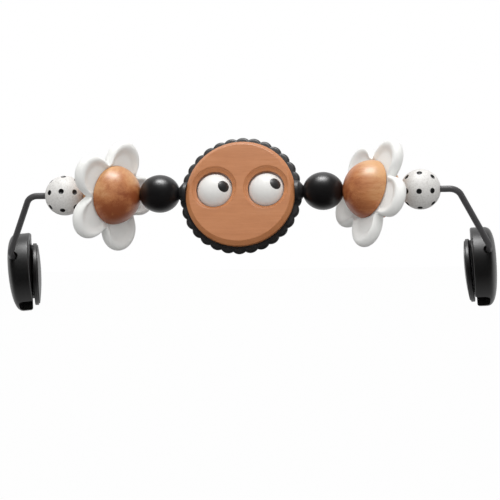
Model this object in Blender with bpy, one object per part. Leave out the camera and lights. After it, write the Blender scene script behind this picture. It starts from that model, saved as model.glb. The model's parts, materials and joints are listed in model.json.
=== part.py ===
"""Toy bar for a baby bouncer.

A bent rod carries turned beads, two five-petal wheels and a disc with two rolling
eyes, and each end of the rod is held in a round sprung clip.
The bar runs along X, the side that faces the viewer is -Y, and Z is up.
"""
import math

import bmesh
import bpy
from mathutils import Matrix, Vector

MM = 0.001
DEG = math.pi / 180.0
FULL_TURN = 2.0 * math.pi
LEFT, RIGHT = -1, 1
AXIS_X = Vector((1.0, 0.0, 0.0))
AXIS_Y = Vector((0.0, 1.0, 0.0))

# Fits that every piece shares
SEAT_GAP = 0.3 * MM
RUNNING_GAP = 0.35 * MM
CUT_OVERRUN = 2.0 * MM
WELD_DISTANCE = 0.002 * MM
SMOOTH_ANGLE = 35.0 * DEG
BORE_SIDES = 16

# Rod: a straight run, two bends to the legs, and a short turned-in end in each clip
ROD_RADIUS = 3.2 * MM
BEND_RADIUS = 12.0 * MM
END_BEND_RADIUS = 7.5 * MM
BEAD_SLACK = 9.2 * MM
LEG_DROP = 56.5 * MM
LEG_SPLAY_SHARE = 0.51
LEG_BACK_SHARE = 0.68
END_SLOPE = 26.0 * DEG
END_BARE = 8.5 * MM
END_IN_CLIP = 22.0 * MM
BEND_STEPS = 6
ROD_ROUNDNESS = 4
WIRE_ROUNDNESS = 1

# Plain round beads next to the disc, and dotted beads at the ends
BLACK_BEAD_LONG = 20.6 * MM
BLACK_BEAD_ROUND = 19.0 * MM
BLACK_BEAD_END = 5.6 * MM
DOTTED_BEAD_RADIUS = 20.1 * MM
DOTTED_BEAD_END = 4.9 * MM
BEAD_SIDES = 22
BEAD_STEPS = 9

# Eyes: balls on the rod, each in a round cavity behind a slightly narrower, bevelled hole
EYE_SPACING = 52.0 * MM
EYE_RADIUS = 18.6 * MM
EYE_END = 5.0 * MM
EYE_CAVITY_GAP = 1.2 * MM
EYE_END_GAP = 0.6 * MM
EYE_HOLE_LIP = 0.4 * MM
EYE_HOLE_RAISE = 1.5 * MM
EYE_BEVEL_WIDTH = 4.2 * MM
EYE_BEVEL_DEPTH = 2.7 * MM
EYE_CAVITY_STEPS = 9
PUPIL_RADIUS = 5.8 * MM
PUPIL_DEPTH = 2.4 * MM
PUPIL_CROWN = 0.4 * MM
PUPIL_RING_SHARES = (1.0, 0.6, 0.0)
PUPIL_LATITUDE = 34.6 * DEG
EYE_PITCH = {LEFT: 24.4 * DEG, RIGHT: 32.7 * DEG}

# Disc: two turned wooden halves, a scalloped ring clamped in a rebate between them
DISC_BORDER = 10.3 * MM
DISC_RADIUS = EYE_SPACING / 2.0 + EYE_RADIUS + DISC_BORDER
DISC_HALF_THICKNESS = 11.6 * MM
DISC_EDGE_ROUND = 5.0 * MM
DISC_FACE_MARGIN = 1.2 * MM
DISC_BELOW_ROD = 3.5 * MM
DISC_PITCH = 18.4 * DEG
DISC_SIDES = 42
EYE_HOLE_SIDES = 20
RING_STAND_OUT = 6.6 * MM
RING_SEAT_DEPTH = 8.9 * MM
RING_TIP_RADIUS = DISC_RADIUS + RING_STAND_OUT
RING_BORE_RADIUS = DISC_RADIUS - RING_SEAT_DEPTH
RING_HALF_THICKNESS = 3.25 * MM
RING_EDGE_ROUND = 3.2 * MM
RING_SECTION_TURNS = (-90.0 * DEG, -36.0 * DEG, 36.0 * DEG, 90.0 * DEG)
SCALLOPS = 30
STEPS_PER_SCALLOP = 4
SCALLOP_RADIUS_SHARE = 0.683
SCALLOP_RADIUS = SCALLOP_RADIUS_SHARE * FULL_TURN * RING_TIP_RADIUS / SCALLOPS
COLLAR_PAST_RING = 0.9 * MM
COLLAR_REACH = RING_STAND_OUT + COLLAR_PAST_RING
COLLAR_RADIUS = 11.2 * MM
COLLAR_NOSE_RADIUS = 6.2 * MM
COLLAR_NOSE_LENGTH = 4.4 * MM
COLLAR_SIDES = 20

# Petal wheels: an egg-shaped wooden ball cut aslant, clamping a five-lobed plate
BALL_LONG = 29.2 * MM
BALL_ROUND = 30.0 * MM
BALL_END = 5.8 * MM
PLATE_TILT = {LEFT: 37.0 * DEG, RIGHT: 41.5 * DEG}
PLATE_BELOW_ROD = 1.4 * MM
SEAT_HALF_THICKNESS = 3.4 * MM
SEAT_RADIUS = 31.2 * MM
PETALS = 5
PETAL_LENGTH = 26.2 * MM
PETAL_TIP_RADIUS = SEAT_RADIUS + PETAL_LENGTH
PETAL_HALF_WIDTH = 20.0 * MM
PETAL_NOTCH_FLESH = 1.8 * MM
PETAL_NOTCH_RADIUS = SEAT_RADIUS + PETAL_NOTCH_FLESH
PETAL_HALF_THICKNESS = 6.0 * MM
PETAL_EDGE_ROUND = 6.0 * MM
PETAL_DISH = 2.6 * MM
PETAL_DISH_RUN = 8.0 * MM
PETAL_PHASE = -8.0 * DEG
PETAL_STEPS = 9
PETAL_FRONT_SHARES = (0.3, 0.55, 0.75, 0.9)
PETAL_BACK_SHARES = (0.45, 0.8)
FLOWER_ROLL = {LEFT: 11.3 * DEG, RIGHT: -23.3 * DEG}

# Clips: in a clip's own frame X points out from the bar, -Y points back up the rod's end,
# and Z is the hinge's direction
CLIP_RADIUS = 40.2 * MM
CLIP_HALF_WIDTH = 12.2 * MM
CLIP_OUTER_ROUND = 12.0 * MM
CLIP_INNER_ROUND = 1.8 * MM
CLIP_CROWN_POWER = 2.9
CLIP_CROWN_STEPS = 5
CLIP_SIDES = 40
CLIP_TURN = 5.5 * DEG
CLIP_LEAN = {LEFT: -5.0 * DEG, RIGHT: -1.6 * DEG}
CLIP_TAPER = 1.3 * DEG
CLIP_RELIEF = 13.5 * DEG
ROD_OFF_CENTRE = 4.1 * MM
SOCKET_MOUTH_RADIUS = 4.8 * MM
SOCKET_MOUTH_DEPTH = 5.0 * MM
SOCKET_MOUTH_SHIFT = 1.2 * MM
GRIP_INSET = 6.2 * MM
GRIP_RADIUS = CLIP_RADIUS - GRIP_INSET
GRIP_HEIGHT = 0.4 * MM
GRIP_START = 21.0 * MM
NOTCH_HALF_WIDTH = 10.0 * MM
NOTCH_ROUND = 5.0 * MM
NOTCH_DEPTH_PAST_PIN = 8.0 * MM

# Jaw, hinge pin and spring
JAW_INSET = 8.0 * MM
JAW_RADIUS = CLIP_RADIUS - JAW_INSET
JAW_THICKNESS = 3.9 * MM
JAW_DROP = 2.6 * MM
JAW_MIDDLE_GAP = 0.6 * MM
JAW_OPEN = 5.2 * DEG
JAW_EDGE_ROUND = 0.8 * MM
JAW_SIDES = 30
COVER_INSET = 1.8 * MM
COVER_RADIUS = JAW_RADIUS - COVER_INSET
COVER_EDGE = 0.8 * MM
COVER_CROWN = 2.3 * MM
COVER_RING_SHARES = (0.75, 0.5, 0.25, 0.0)
HINGE_INSET = 8.0 * MM
WEB_HALF_WIDTH = 1.8 * MM
WEB_DEPTH = 1.6 * MM
GROOVE_HALF_WIDTH = 4.2 * MM
GROOVE_DEPTH = 2.7 * MM
KNUCKLE_RADIUS = 4.5 * MM
KNUCKLE_INSET = 2.8 * MM
KNUCKLE_WIDTH = 6.9 * MM
KNUCKLE_OUTER = JAW_RADIUS - KNUCKLE_INSET
KNUCKLE_INNER = KNUCKLE_OUTER - KNUCKLE_WIDTH
ARM_HALF_WIDTH = 3.2 * MM
PIN_RADIUS = 1.5 * MM
PIN_END_REACH = 1.1 * MM
PIN_HALF_LENGTH = KNUCKLE_OUTER + PIN_END_REACH
PIN_PLAY = 0.3 * MM
PIN_SIDES = 12
SPRING_WIRE = 0.45 * MM
SPRING_RADIUS = 2.6 * MM
SPRING_PITCH = 1.4 * MM
SPRING_TURNS = 2.5
SPRING_LEG = 4.2 * MM
SPRING_STEPS = 10
SPRING_ROOM = 4.9 * MM
SPRING_SEAT = KNUCKLE_INNER - SPRING_ROOM

WOOD = ("beech", (0.62, 0.33, 0.17), 0.45, 0.0)
WHITE_PAINT = ("white_paint", (0.83, 0.82, 0.79), 0.4, 0.0)
BLACK_PAINT = ("black_paint", (0.018, 0.017, 0.017), 0.35, 0.0)
PUPIL_GLOSS = ("pupil_gloss", (0.01, 0.01, 0.011), 0.12, 0.0)
RING_PLASTIC = ("ring_plastic", (0.02, 0.02, 0.021), 0.42, 0.0)
CLIP_PLASTIC = ("clip_plastic", (0.016, 0.015, 0.015), 0.38, 0.0)
ROD_COAT = ("rod_coat", (0.014, 0.014, 0.015), 0.35, 0.2)
STEEL = ("spring_steel", (0.55, 0.56, 0.58), 0.3, 1.0)


def clear_scene():
    for thing in list(bpy.data.objects):
        bpy.data.objects.remove(thing)


def material(finish):
    name, colour, roughness, metallic = finish
    found = bpy.data.materials.get(name)
    if found:
        return found
    made = bpy.data.materials.new(name)
    made.use_nodes = True
    shader = made.node_tree.nodes["Principled BSDF"]
    shader.inputs["Base Color"].default_value = (*colour, 1.0)
    shader.inputs["Roughness"].default_value = roughness
    shader.inputs["Metallic"].default_value = metallic
    made.diffuse_color = (*colour, 1.0)
    return made


def piece(name, mesh, parent, finish=None):
    made = bpy.data.objects.new(name, mesh)
    if finish:
        mesh.materials.append(material(finish))
    made.parent = parent
    bpy.context.scene.collection.objects.link(made)
    return made


def pivot(name, parent, matrix):
    """An empty that a moving group turns about."""
    made = bpy.data.objects.new(name, None)
    made.parent = parent
    made.matrix_local = matrix
    bpy.context.scene.collection.objects.link(made)
    return made


def solid_mesh(name, bm, matrix=None, shape=None):
    """Close off a bmesh as a mesh with its faces pointing out, first bent by shape if given."""
    bmesh.ops.remove_doubles(bm, verts=bm.verts, dist=WELD_DISTANCE)
    if shape:
        for vert in bm.verts:
            vert.co = shape(vert.co)
    if matrix:
        bmesh.ops.transform(bm, matrix=matrix, verts=bm.verts)
    bmesh.ops.recalc_face_normals(bm, faces=bm.faces)
    mesh = bpy.data.meshes.new(name)
    bm.to_mesh(mesh)
    bm.free()
    return mesh


def turned(name, outline, sides, axis=AXIS_X, matrix=None, closed=True, shape=None):
    """Spin an outline of (along, radius) pairs about an axis through the origin."""
    bm = bmesh.new()
    verts = [bm.verts.new(axis * along + Vector((0.0, 0.0, radius))) for along, radius in outline]
    ends = verts[1:] + verts[:1] if closed else verts[1:]
    edges = [bm.edges.new(pair) for pair in zip(verts, ends)]
    bmesh.ops.spin(
        bm, geom=verts + edges, axis=axis, cent=(0.0, 0.0, 0.0),
        angle=FULL_TURN, steps=sides, use_merge=True,
    )
    return solid_mesh(name, bm, matrix, shape)


def extruded(name, rim, push, matrix=None, shape=None):
    """Push a flat rim of points along a vector."""
    bm = bmesh.new()
    face = bm.faces.new([bm.verts.new(point) for point in rim])
    grown = bmesh.ops.extrude_face_region(bm, geom=[face])
    moved = [item for item in grown["geom"] if isinstance(item, bmesh.types.BMVert)]
    bmesh.ops.translate(bm, vec=push, verts=moved)
    return solid_mesh(name, bm, matrix, shape)


def arc(centre, radius, start, end, steps):
    """Points of a round stretch of an outline, both ends included."""
    angles = [start + (end - start) * step / steps for step in range(steps + 1)]
    return [(centre[0] + radius * math.cos(a), centre[1] + radius * math.sin(a)) for a in angles]


def combine(target, tool, operation):
    """Carry out one exact Boolean on target, then remove the tool."""
    bpy.context.view_layer.update()
    modifier = target.modifiers.new(operation.lower(), "BOOLEAN")
    modifier.operation = operation
    modifier.solver = "EXACT"
    modifier.object = tool
    depsgraph = bpy.context.evaluated_depsgraph_get()
    result = bpy.data.meshes.new_from_object(target.evaluated_get(depsgraph))
    target.modifiers.clear()
    target.data = result
    bpy.data.objects.remove(tool)


def mirror_matrix(side):
    return Matrix.Scale(side, 4, AXIS_X)


def bead_half_length(long_radius, round_radius, end_radius):
    return long_radius * math.sqrt(1.0 - (end_radius / round_radius) ** 2)


def bead_outline(long_radius, round_radius, end_radius):
    """Half an ellipse cut square where it narrows to the end radius, closed along its bore."""
    start = math.asin(end_radius / round_radius)
    angles = [start + (math.pi - 2.0 * start) * step / BEAD_STEPS for step in range(BEAD_STEPS + 1)]
    outline = [(-long_radius * math.cos(a), round_radius * math.sin(a)) for a in angles]
    end = bead_half_length(long_radius, round_radius, end_radius)
    bore = ROD_RADIUS + RUNNING_GAP
    return outline + [(end, bore), (-end, bore)]


def bead(name, parent, centre_x, sizes, finish):
    hub = pivot(name + "_pivot", parent, Matrix.Translation((centre_x, 0.0, 0.0)))
    piece(name, turned(name, bead_outline(*sizes), BEAD_SIDES), hub, finish)


def stack_centres():
    """Centres along X of the black bead, the petal wheel and the dotted bead, and the stack's end."""
    black = bead_half_length(BLACK_BEAD_LONG, BLACK_BEAD_ROUND, BLACK_BEAD_END)
    ball = bead_half_length(BALL_LONG, BALL_ROUND, BALL_END)
    dotted = bead_half_length(DOTTED_BEAD_RADIUS, DOTTED_BEAD_RADIUS, DOTTED_BEAD_END)
    black_x = DISC_RADIUS + COLLAR_REACH + SEAT_GAP + black
    flower_x = black_x + black + SEAT_GAP + ball
    dotted_x = flower_x + ball + SEAT_GAP + dotted
    return black_x, flower_x, dotted_x, dotted_x + dotted


def clip_turn(side):
    """Turn of a clip's own frame."""
    level = Matrix.Rotation(CLIP_TURN, 4, "Z") @ Matrix.Rotation(CLIP_LEAN[side], 4, "Y")
    return level @ Matrix.Rotation(-END_SLOPE, 4, "X")


def end_direction(side):
    """Direction in which the rod's turned-in end runs into its clip."""
    return clip_turn(side) @ AXIS_Y


def leg_corners(side):
    """The upper bend, the lower bend and the tip of one leg, before the bends are rounded."""
    leg = Vector((side * LEG_SPLAY_SHARE, LEG_BACK_SHARE, -1.0))
    turn = (AXIS_X * side).angle(leg)
    upper_x = stack_centres()[3] + BEAD_SLACK + BEND_RADIUS * math.tan(turn / 2.0)
    upper = Vector((side * upper_x, 0.0, 0.0))
    lower = upper + leg * LEG_DROP
    return upper, lower, lower + end_direction(side) * (END_BARE + END_IN_CLIP)


def rounded_path(corners, radii):
    """Points along straight runs that are joined by arcs, with one radius for each inner corner."""
    points = [corners[0]]
    for before, corner, after, radius in zip(corners, corners[1:], corners[2:], radii):
        into = (corner - before).normalized()
        out = (after - corner).normalized()
        turn = into.angle(out)
        start = corner - into * radius * math.tan(turn / 2.0)
        sideways = (out - into * into.dot(out)).normalized()
        for step in range(BEND_STEPS + 1):
            a = turn * step / BEND_STEPS
            points.append(start + into * radius * math.sin(a) + sideways * radius * (1.0 - math.cos(a)))
    return points + [corners[-1]]


def tube(name, points, radius, roundness, parent, finish):
    """A round bar along a run of points, with closed ends."""
    curve = bpy.data.curves.new(name, "CURVE")
    curve.dimensions = "3D"
    curve.bevel_depth = radius
    curve.bevel_resolution = roundness
    curve.use_fill_caps = True
    run = curve.splines.new("POLY")
    run.points.add(len(points) - 1)
    for spot, place in zip(run.points, points):
        spot.co = (*place, 1.0)
    return piece(name, curve, parent, finish)


def support_rod(parent):
    left = leg_corners(LEFT)
    right = leg_corners(RIGHT)
    corners = [left[2], left[1], left[0], right[0], right[1], right[2]]
    radii = (END_BEND_RADIUS, BEND_RADIUS, BEND_RADIUS, END_BEND_RADIUS)
    tube("support_rod", rounded_path(corners, radii), ROD_RADIUS, ROD_ROUNDNESS, parent, ROD_COAT)


def disc_half_outline(front):
    """Outline about Y of one wooden half: face, rounded rim, rebate for the ring, mating face."""
    face = front * DISC_HALF_THICKNESS
    rim = face - front * DISC_EDGE_ROUND
    start = -math.pi / 2.0 if front > 0 else math.pi / 2.0
    rounding = arc((DISC_RADIUS - DISC_EDGE_ROUND, rim), DISC_EDGE_ROUND, -start, 0.0, 3)
    rebate = front * (RING_HALF_THICKNESS + SEAT_GAP)
    mating = front * SEAT_GAP / 2.0
    spigot = RING_BORE_RADIUS - SEAT_GAP
    flat = DISC_RADIUS - DISC_EDGE_ROUND - DISC_FACE_MARGIN
    outline = [(face, 0.0), (face, flat)] + [(along, radius) for radius, along in rounding]
    return outline + [(rebate, DISC_RADIUS), (rebate, spigot), (mating, spigot), (mating, 0.0)]


def eye_hole_cutter(front, side, parent):
    """A bored hole, a little narrower than the eye, with a wide bevel at the face."""
    hole = EYE_RADIUS - EYE_HOLE_LIP
    mouth = hole + EYE_BEVEL_WIDTH
    face = front * DISC_HALF_THICKNESS
    over = front * CUT_OVERRUN
    outline = [
        (face + over, 0.0), (face + over, mouth), (face, mouth),
        (face - front * EYE_BEVEL_DEPTH, hole), (-over, hole), (-over, 0.0),
    ]
    place = Matrix.Translation((side * EYE_SPACING / 2.0, 0.0, EYE_HOLE_RAISE))
    mesh = turned("eye_hole", outline, EYE_HOLE_SIDES, AXIS_Y, place, closed=False)
    return piece("eye_hole_cutter", mesh, parent)


def eye_cavity_cutter(side, parent):
    """The room that the eye rolls in: round as the ball, and cut short at its two ends."""
    reach = EYE_RADIUS + EYE_CAVITY_GAP
    end = bead_half_length(EYE_RADIUS, EYE_RADIUS, EYE_END) + EYE_END_GAP
    start = math.acos(end / reach)
    crown = arc((0.0, 0.0), reach, math.pi - start, start, EYE_CAVITY_STEPS)
    room = [(-end, 0.0)] + crown + [(end, 0.0)]
    place = Matrix.Translation((side * EYE_SPACING / 2.0, 0.0, 0.0))
    mesh = turned("eye_cavity", room, EYE_HOLE_SIDES, AXIS_X, place, closed=False)
    return piece("eye_cavity_cutter", mesh, parent)


def rod_bore_cutter(parent, half_length):
    bore = ROD_RADIUS + RUNNING_GAP
    outline = [(-half_length, 0.0), (-half_length, bore), (half_length, bore), (half_length, 0.0)]
    return piece("rod_bore_cutter", turned("rod_bore", outline, BORE_SIDES, closed=False), parent)


def disc_half(name, front, parent):
    drop = Matrix.Translation((0.0, 0.0, -DISC_BELOW_ROD))
    mesh = turned(name, disc_half_outline(front), DISC_SIDES, AXIS_Y, drop, closed=False)
    half = piece(name, mesh, parent, WOOD)
    for side in (LEFT, RIGHT):
        combine(half, eye_hole_cutter(front, side, parent), "DIFFERENCE")
        combine(half, eye_cavity_cutter(side, parent), "DIFFERENCE")
    combine(half, rod_bore_cutter(parent, DISC_RADIUS + CUT_OVERRUN), "DIFFERENCE")


def scallop_reach(angle):
    """Radius of the ring's outer edge at an angle from the nearest scallop's tip."""
    pitch = FULL_TURN / SCALLOPS
    off_tip = (angle + pitch / 2.0) % pitch - pitch / 2.0
    centre = RING_TIP_RADIUS - SCALLOP_RADIUS
    return centre * math.cos(off_tip) + math.sqrt(SCALLOP_RADIUS**2 - (centre * math.sin(off_tip)) ** 2)


def ring_section(reach):
    """Points (radius, y) round the ring's section where its outer edge lies at reach."""
    shoulder = reach - RING_EDGE_ROUND
    section = [(RING_BORE_RADIUS, -RING_HALF_THICKNESS)]
    for turn in RING_SECTION_TURNS:
        section.append(
            (shoulder + RING_EDGE_ROUND * math.cos(turn), RING_HALF_THICKNESS * math.sin(turn))
        )
    return section + [(RING_BORE_RADIUS, RING_HALF_THICKNESS)]


def ring_mesh():
    bm = bmesh.new()
    count = SCALLOPS * STEPS_PER_SCALLOP
    loops = []
    for step in range(count):
        angle = FULL_TURN * step / count
        section = ring_section(scallop_reach(angle))
        loops.append([
            bm.verts.new((r * math.sin(angle), y, r * math.cos(angle) - DISC_BELOW_ROD))
            for r, y in section
        ])
    for here, there in zip(loops, loops[1:] + loops[:1]):
        for a in range(len(here)):
            b = (a + 1) % len(here)
            bm.faces.new((here[a], here[b], there[b], there[a]))
    return solid_mesh("scalloped_ring", bm)


def ring_collar(side, parent):
    """A coned collar round the rod, hollowed to sit over the disc's rim."""
    end = DISC_RADIUS + COLLAR_REACH
    root = RING_BORE_RADIUS + SEAT_GAP
    outline = [
        (root, 0.0), (root, COLLAR_RADIUS), (end - COLLAR_NOSE_LENGTH, COLLAR_RADIUS),
        (end, COLLAR_NOSE_RADIUS), (end, 0.0),
    ]
    shape = turned("collar", outline, COLLAR_SIDES, AXIS_X, mirror_matrix(side), closed=False)
    collar = piece("collar", shape, parent)
    clearance = DISC_RADIUS + SEAT_GAP
    half = DISC_HALF_THICKNESS + CUT_OVERRUN
    rim = [(-half, 0.0), (-half, clearance), (half, clearance), (half, 0.0)]
    drop = Matrix.Translation((0.0, 0.0, -DISC_BELOW_ROD))
    rim_cutter = piece("rim_cutter", turned("rim", rim, DISC_SIDES, AXIS_Y, drop, closed=False), parent)
    combine(collar, rim_cutter, "DIFFERENCE")
    return collar


def scalloped_ring(parent):
    ring = piece("scalloped_ring", ring_mesh(), parent, RING_PLASTIC)
    for side in (LEFT, RIGHT):
        combine(ring, ring_collar(side, parent), "UNION")
    combine(ring, rod_bore_cutter(parent, DISC_RADIUS + COLLAR_REACH + CUT_OVERRUN), "DIFFERENCE")


def pupil_direction():
    return Vector((math.sin(PUPIL_LATITUDE), -math.cos(PUPIL_LATITUDE), 0.0))


def eye(side, parent):
    label = "left" if side == LEFT else "right"
    place = Matrix.Translation((side * EYE_SPACING / 2.0, 0.0, 0.0))
    hub = pivot(label + "_eye_pivot", parent, place @ Matrix.Rotation(-EYE_PITCH[side], 4, "X"))
    sizes = (EYE_RADIUS, EYE_RADIUS, EYE_END)
    ball = piece(label + "_eyeball", turned("eyeball", bead_outline(*sizes), BEAD_SIDES), hub, WHITE_PAINT)
    facing = AXIS_X.rotation_difference(pupil_direction()).to_matrix().to_4x4()
    floor = EYE_RADIUS - PUPIL_DEPTH
    top = EYE_RADIUS + CUT_OVERRUN
    pocket = [(floor, 0.0), (floor, PUPIL_RADIUS), (top, PUPIL_RADIUS), (top, 0.0)]
    cutter = piece("pupil_cutter", turned("pocket", pocket, BORE_SIDES, AXIS_X, facing, closed=False), hub)
    combine(ball, cutter, "DIFFERENCE")
    radius = PUPIL_RADIUS - SEAT_GAP
    edge = math.sqrt(EYE_RADIUS**2 - radius**2)
    crown = EYE_RADIUS + PUPIL_CROWN
    low = floor + SEAT_GAP
    dome = [(edge + (crown - edge) * (1.0 - share**2), radius * share) for share in PUPIL_RING_SHARES]
    plug = [(low, 0.0), (low, radius)] + dome
    mesh = turned(label + "_pupil", plug, BORE_SIDES, AXIS_X, facing, closed=False)
    piece(label + "_pupil", mesh, hub, PUPIL_GLOSS)


def plate_frame(side):
    """Axes of a petal plate: in its plane towards the disc, in its plane upwards, and its normal."""
    tilt = PLATE_TILT[side]
    along = Vector((-side * math.sin(tilt), math.cos(tilt), 0.0))
    upward = Vector((0.0, 0.0, 1.0))
    normal = Vector((-side * math.cos(tilt), -math.sin(tilt), 0.0))
    return Matrix((along, upward, normal)).transposed().to_4x4()


def off_petal(angle):
    """Angle from the nearest petal's middle."""
    pitch = FULL_TURN / PETALS
    return abs((angle + pitch / 2.0) % pitch - pitch / 2.0)


def petal_edge(angle):
    """Radius of the plate's outline: a round tip on straight flanks that meet in a notch."""
    off = off_petal(angle)
    middle = PETAL_TIP_RADIUS - PETAL_HALF_WIDTH
    if off < math.atan(PETAL_HALF_WIDTH / middle):
        return middle * math.cos(off) + math.sqrt(PETAL_HALF_WIDTH**2 - (middle * math.sin(off)) ** 2)
    return max(PETAL_HALF_WIDTH / math.sin(off), PETAL_NOTCH_RADIUS)


def petal_inset(angle, radius):
    """Distance of a point of the plate from its outline."""
    off = off_petal(angle)
    along, aside = radius * math.cos(off), radius * math.sin(off)
    past = max(along - PETAL_TIP_RADIUS + PETAL_HALF_WIDTH, 0.0)
    return max(PETAL_HALF_WIDTH - math.hypot(past, aside), petal_edge(angle) - radius)


def petal_height(angle, radius):
    """Height of the plate's back face: a rounded edge, stepped down to the ball's seat."""
    inward = min(petal_inset(angle, radius) / PETAL_EDGE_ROUND, 1.0)
    height = PETAL_HALF_THICKNESS * math.sqrt(1.0 - (1.0 - inward) ** 2)
    return min(height, SEAT_HALF_THICKNESS + max(radius - SEAT_RADIUS, 0.0))


def petal_front(angle, radius):
    """Height of the plate's front face: as the back, but hollowed inside each petal's rim."""
    share = min(max((petal_inset(angle, radius) - PETAL_EDGE_ROUND) / PETAL_DISH_RUN, 0.0), 1.0)
    hollow = PETAL_DISH * math.sin(math.pi / 2.0 * share)
    return min(petal_height(angle, radius), PETAL_HALF_THICKNESS - hollow)


def petal_plate_mesh(name, side):
    """A plate of five plump lobes, each with a hollowed front face."""
    bm = bmesh.new()
    count = PETALS * PETAL_STEPS
    front_middle = bm.verts.new((0.0, 0.0, SEAT_HALF_THICKNESS))
    back_middle = bm.verts.new((0.0, 0.0, -SEAT_HALF_THICKNESS))
    columns = []
    for step in range(count):
        angle = FULL_TURN * step / count
        edge = petal_edge(angle)
        spoke = Vector((math.cos(angle + PETAL_PHASE), math.sin(angle + PETAL_PHASE), 0.0))
        flesh = edge - SEAT_RADIUS
        fore = [SEAT_RADIUS] + [SEAT_RADIUS + flesh * share for share in PETAL_FRONT_SHARES]
        aft = [SEAT_RADIUS] + [SEAT_RADIUS + flesh * share for share in PETAL_BACK_SHARES]
        front = [spoke * r + Vector((0.0, 0.0, petal_front(angle, r))) for r in fore]
        back = [spoke * r - Vector((0.0, 0.0, petal_height(angle, r))) for r in aft]
        columns.append([bm.verts.new(point) for point in front + [spoke * edge] + back[::-1]])
    for here, there in zip(columns, columns[1:] + columns[:1]):
        bm.faces.new((front_middle, here[0], there[0]))
        bm.faces.new((back_middle, there[-1], here[-1]))
        for a in range(len(here) - 1):
            bm.faces.new((here[a], here[a + 1], there[a + 1], there[a]))
    drop = Matrix.Translation((0.0, 0.0, -PLATE_BELOW_ROD))
    return solid_mesh(name, bm, drop @ plate_frame(side))


def slant_cutter(side, facing, parent):
    """A block that takes away everything on the far side of the plate's seat."""
    reach = BALL_ROUND + BALL_LONG
    seat = SEAT_HALF_THICKNESS + SEAT_GAP
    bm = bmesh.new()
    bmesh.ops.create_cube(bm, size=2.0 * reach)
    bmesh.ops.translate(bm, vec=(0.0, 0.0, facing * (seat - reach)), verts=bm.verts)
    return piece("slant_cutter", solid_mesh("slant", bm, plate_frame(side)), parent)


def flower(side, centre_x, parent):
    label = "left" if side == LEFT else "right"
    place = Matrix.Translation((side * centre_x, 0.0, 0.0))
    hub = pivot(label + "_flower_pivot", parent, place @ Matrix.Rotation(FLOWER_ROLL[side], 4, "X"))
    plate = piece(label + "_petal_plate", petal_plate_mesh("petal_plate", side), hub, WHITE_PAINT)
    combine(plate, rod_bore_cutter(hub, BALL_LONG), "DIFFERENCE")
    for end, facing in (("front", 1), ("rear", -1)):
        outline = bead_outline(BALL_LONG, BALL_ROUND, BALL_END)
        half = piece(f"{label}_ball_{end}_half", turned("ball_half", outline, BEAD_SIDES), hub, WOOD)
        combine(half, slant_cutter(side, facing, hub), "DIFFERENCE")


def clip_matrix(side):
    """Place of a clip's own frame: its centre lies beyond the rod's turned-in end."""
    turn = clip_turn(side)
    back = turn @ AXIS_Y * (END_BARE + CLIP_RADIUS)
    inward = turn @ AXIS_X * (side * ROD_OFF_CENTRE)
    return Matrix.Translation(leg_corners(side)[1] + back - inward) @ turn


def level_height(point):
    """Height of a point of the clip's frame along the clip's upright diameter."""
    return point.z * math.cos(END_SLOPE) - point.y * math.sin(END_SLOPE)


def inner_side(point):
    """Taper the housing's inner side downwards, and slope it away behind the hinge."""
    if point.x >= 0.0:
        return point
    growth = math.tan(CLIP_TAPER) * level_height(point)
    growth -= math.tan(CLIP_RELIEF) * max(point.y, 0.0)
    return Vector((point.x * (1.0 + growth / CLIP_HALF_WIDTH), point.y, point.z))


def housing_outline():
    """Outline about X of a clip's housing: flat inner face, rounded rim, crowned outer face."""
    inner = -CLIP_HALF_WIDTH
    corner = (inner + CLIP_INNER_ROUND, CLIP_RADIUS - CLIP_INNER_ROUND)
    rounding = arc(corner, CLIP_INNER_ROUND, math.pi, math.pi / 2.0, 3)
    band = CLIP_HALF_WIDTH - CLIP_OUTER_ROUND
    crown = []
    for step in range(CLIP_CROWN_STEPS + 1):
        a = math.pi / 2.0 * (1.0 - step / CLIP_CROWN_STEPS)
        along = band + CLIP_OUTER_ROUND * max(math.cos(a), 0.0) ** (2.0 / CLIP_CROWN_POWER)
        crown.append((along, CLIP_RADIUS * math.sin(a) ** (2.0 / CLIP_CROWN_POWER)))
    return [(inner, 0.0)] + rounding + crown


def hinge_x():
    return -CLIP_HALF_WIDTH + HINGE_INSET


def on_hinge(side):
    return Matrix.Translation((side * hinge_x(), 0.0, 0.0))


def notch_cutter(side, end, start, parent):
    """Room for a hinge knuckle, open at the housing's rim and inner face."""
    deep = hinge_x() + NOTCH_DEPTH_PAST_PIN
    corner_x = deep - NOTCH_ROUND
    corner_y = NOTCH_HALF_WIDTH - NOTCH_ROUND
    outer = -CLIP_HALF_WIDTH - CLIP_OUTER_ROUND
    outline = [(outer, -NOTCH_HALF_WIDTH)]
    outline += arc((corner_x, -corner_y), NOTCH_ROUND, -math.pi / 2.0, 0.0, 3)
    outline += arc((corner_x, corner_y), NOTCH_ROUND, 0.0, math.pi / 2.0, 3)
    outline += [(outer, NOTCH_HALF_WIDTH)]
    rim = [(x, y, end * start) for x, y in outline]
    mesh = extruded("notch", rim, (0.0, 0.0, end * CLIP_RADIUS), mirror_matrix(side))
    return piece("notch_cutter", mesh, parent)


def groove_cutter(side, parent):
    """A groove along the hinge in the inner face, for the jaw's web."""
    floor = -CLIP_HALF_WIDTH + GROOVE_DEPTH
    outer = -CLIP_HALF_WIDTH - CLIP_OUTER_ROUND
    half = GROOVE_HALF_WIDTH
    foot = -SPRING_SEAT - CUT_OVERRUN
    rim = [(outer, -half, foot), (outer, half, foot), (floor, half, foot), (floor, -half, foot)]
    mesh = extruded("groove", rim, (0.0, 0.0, KNUCKLE_INNER - foot), mirror_matrix(side))
    return piece("groove_cutter", mesh, parent)


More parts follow.
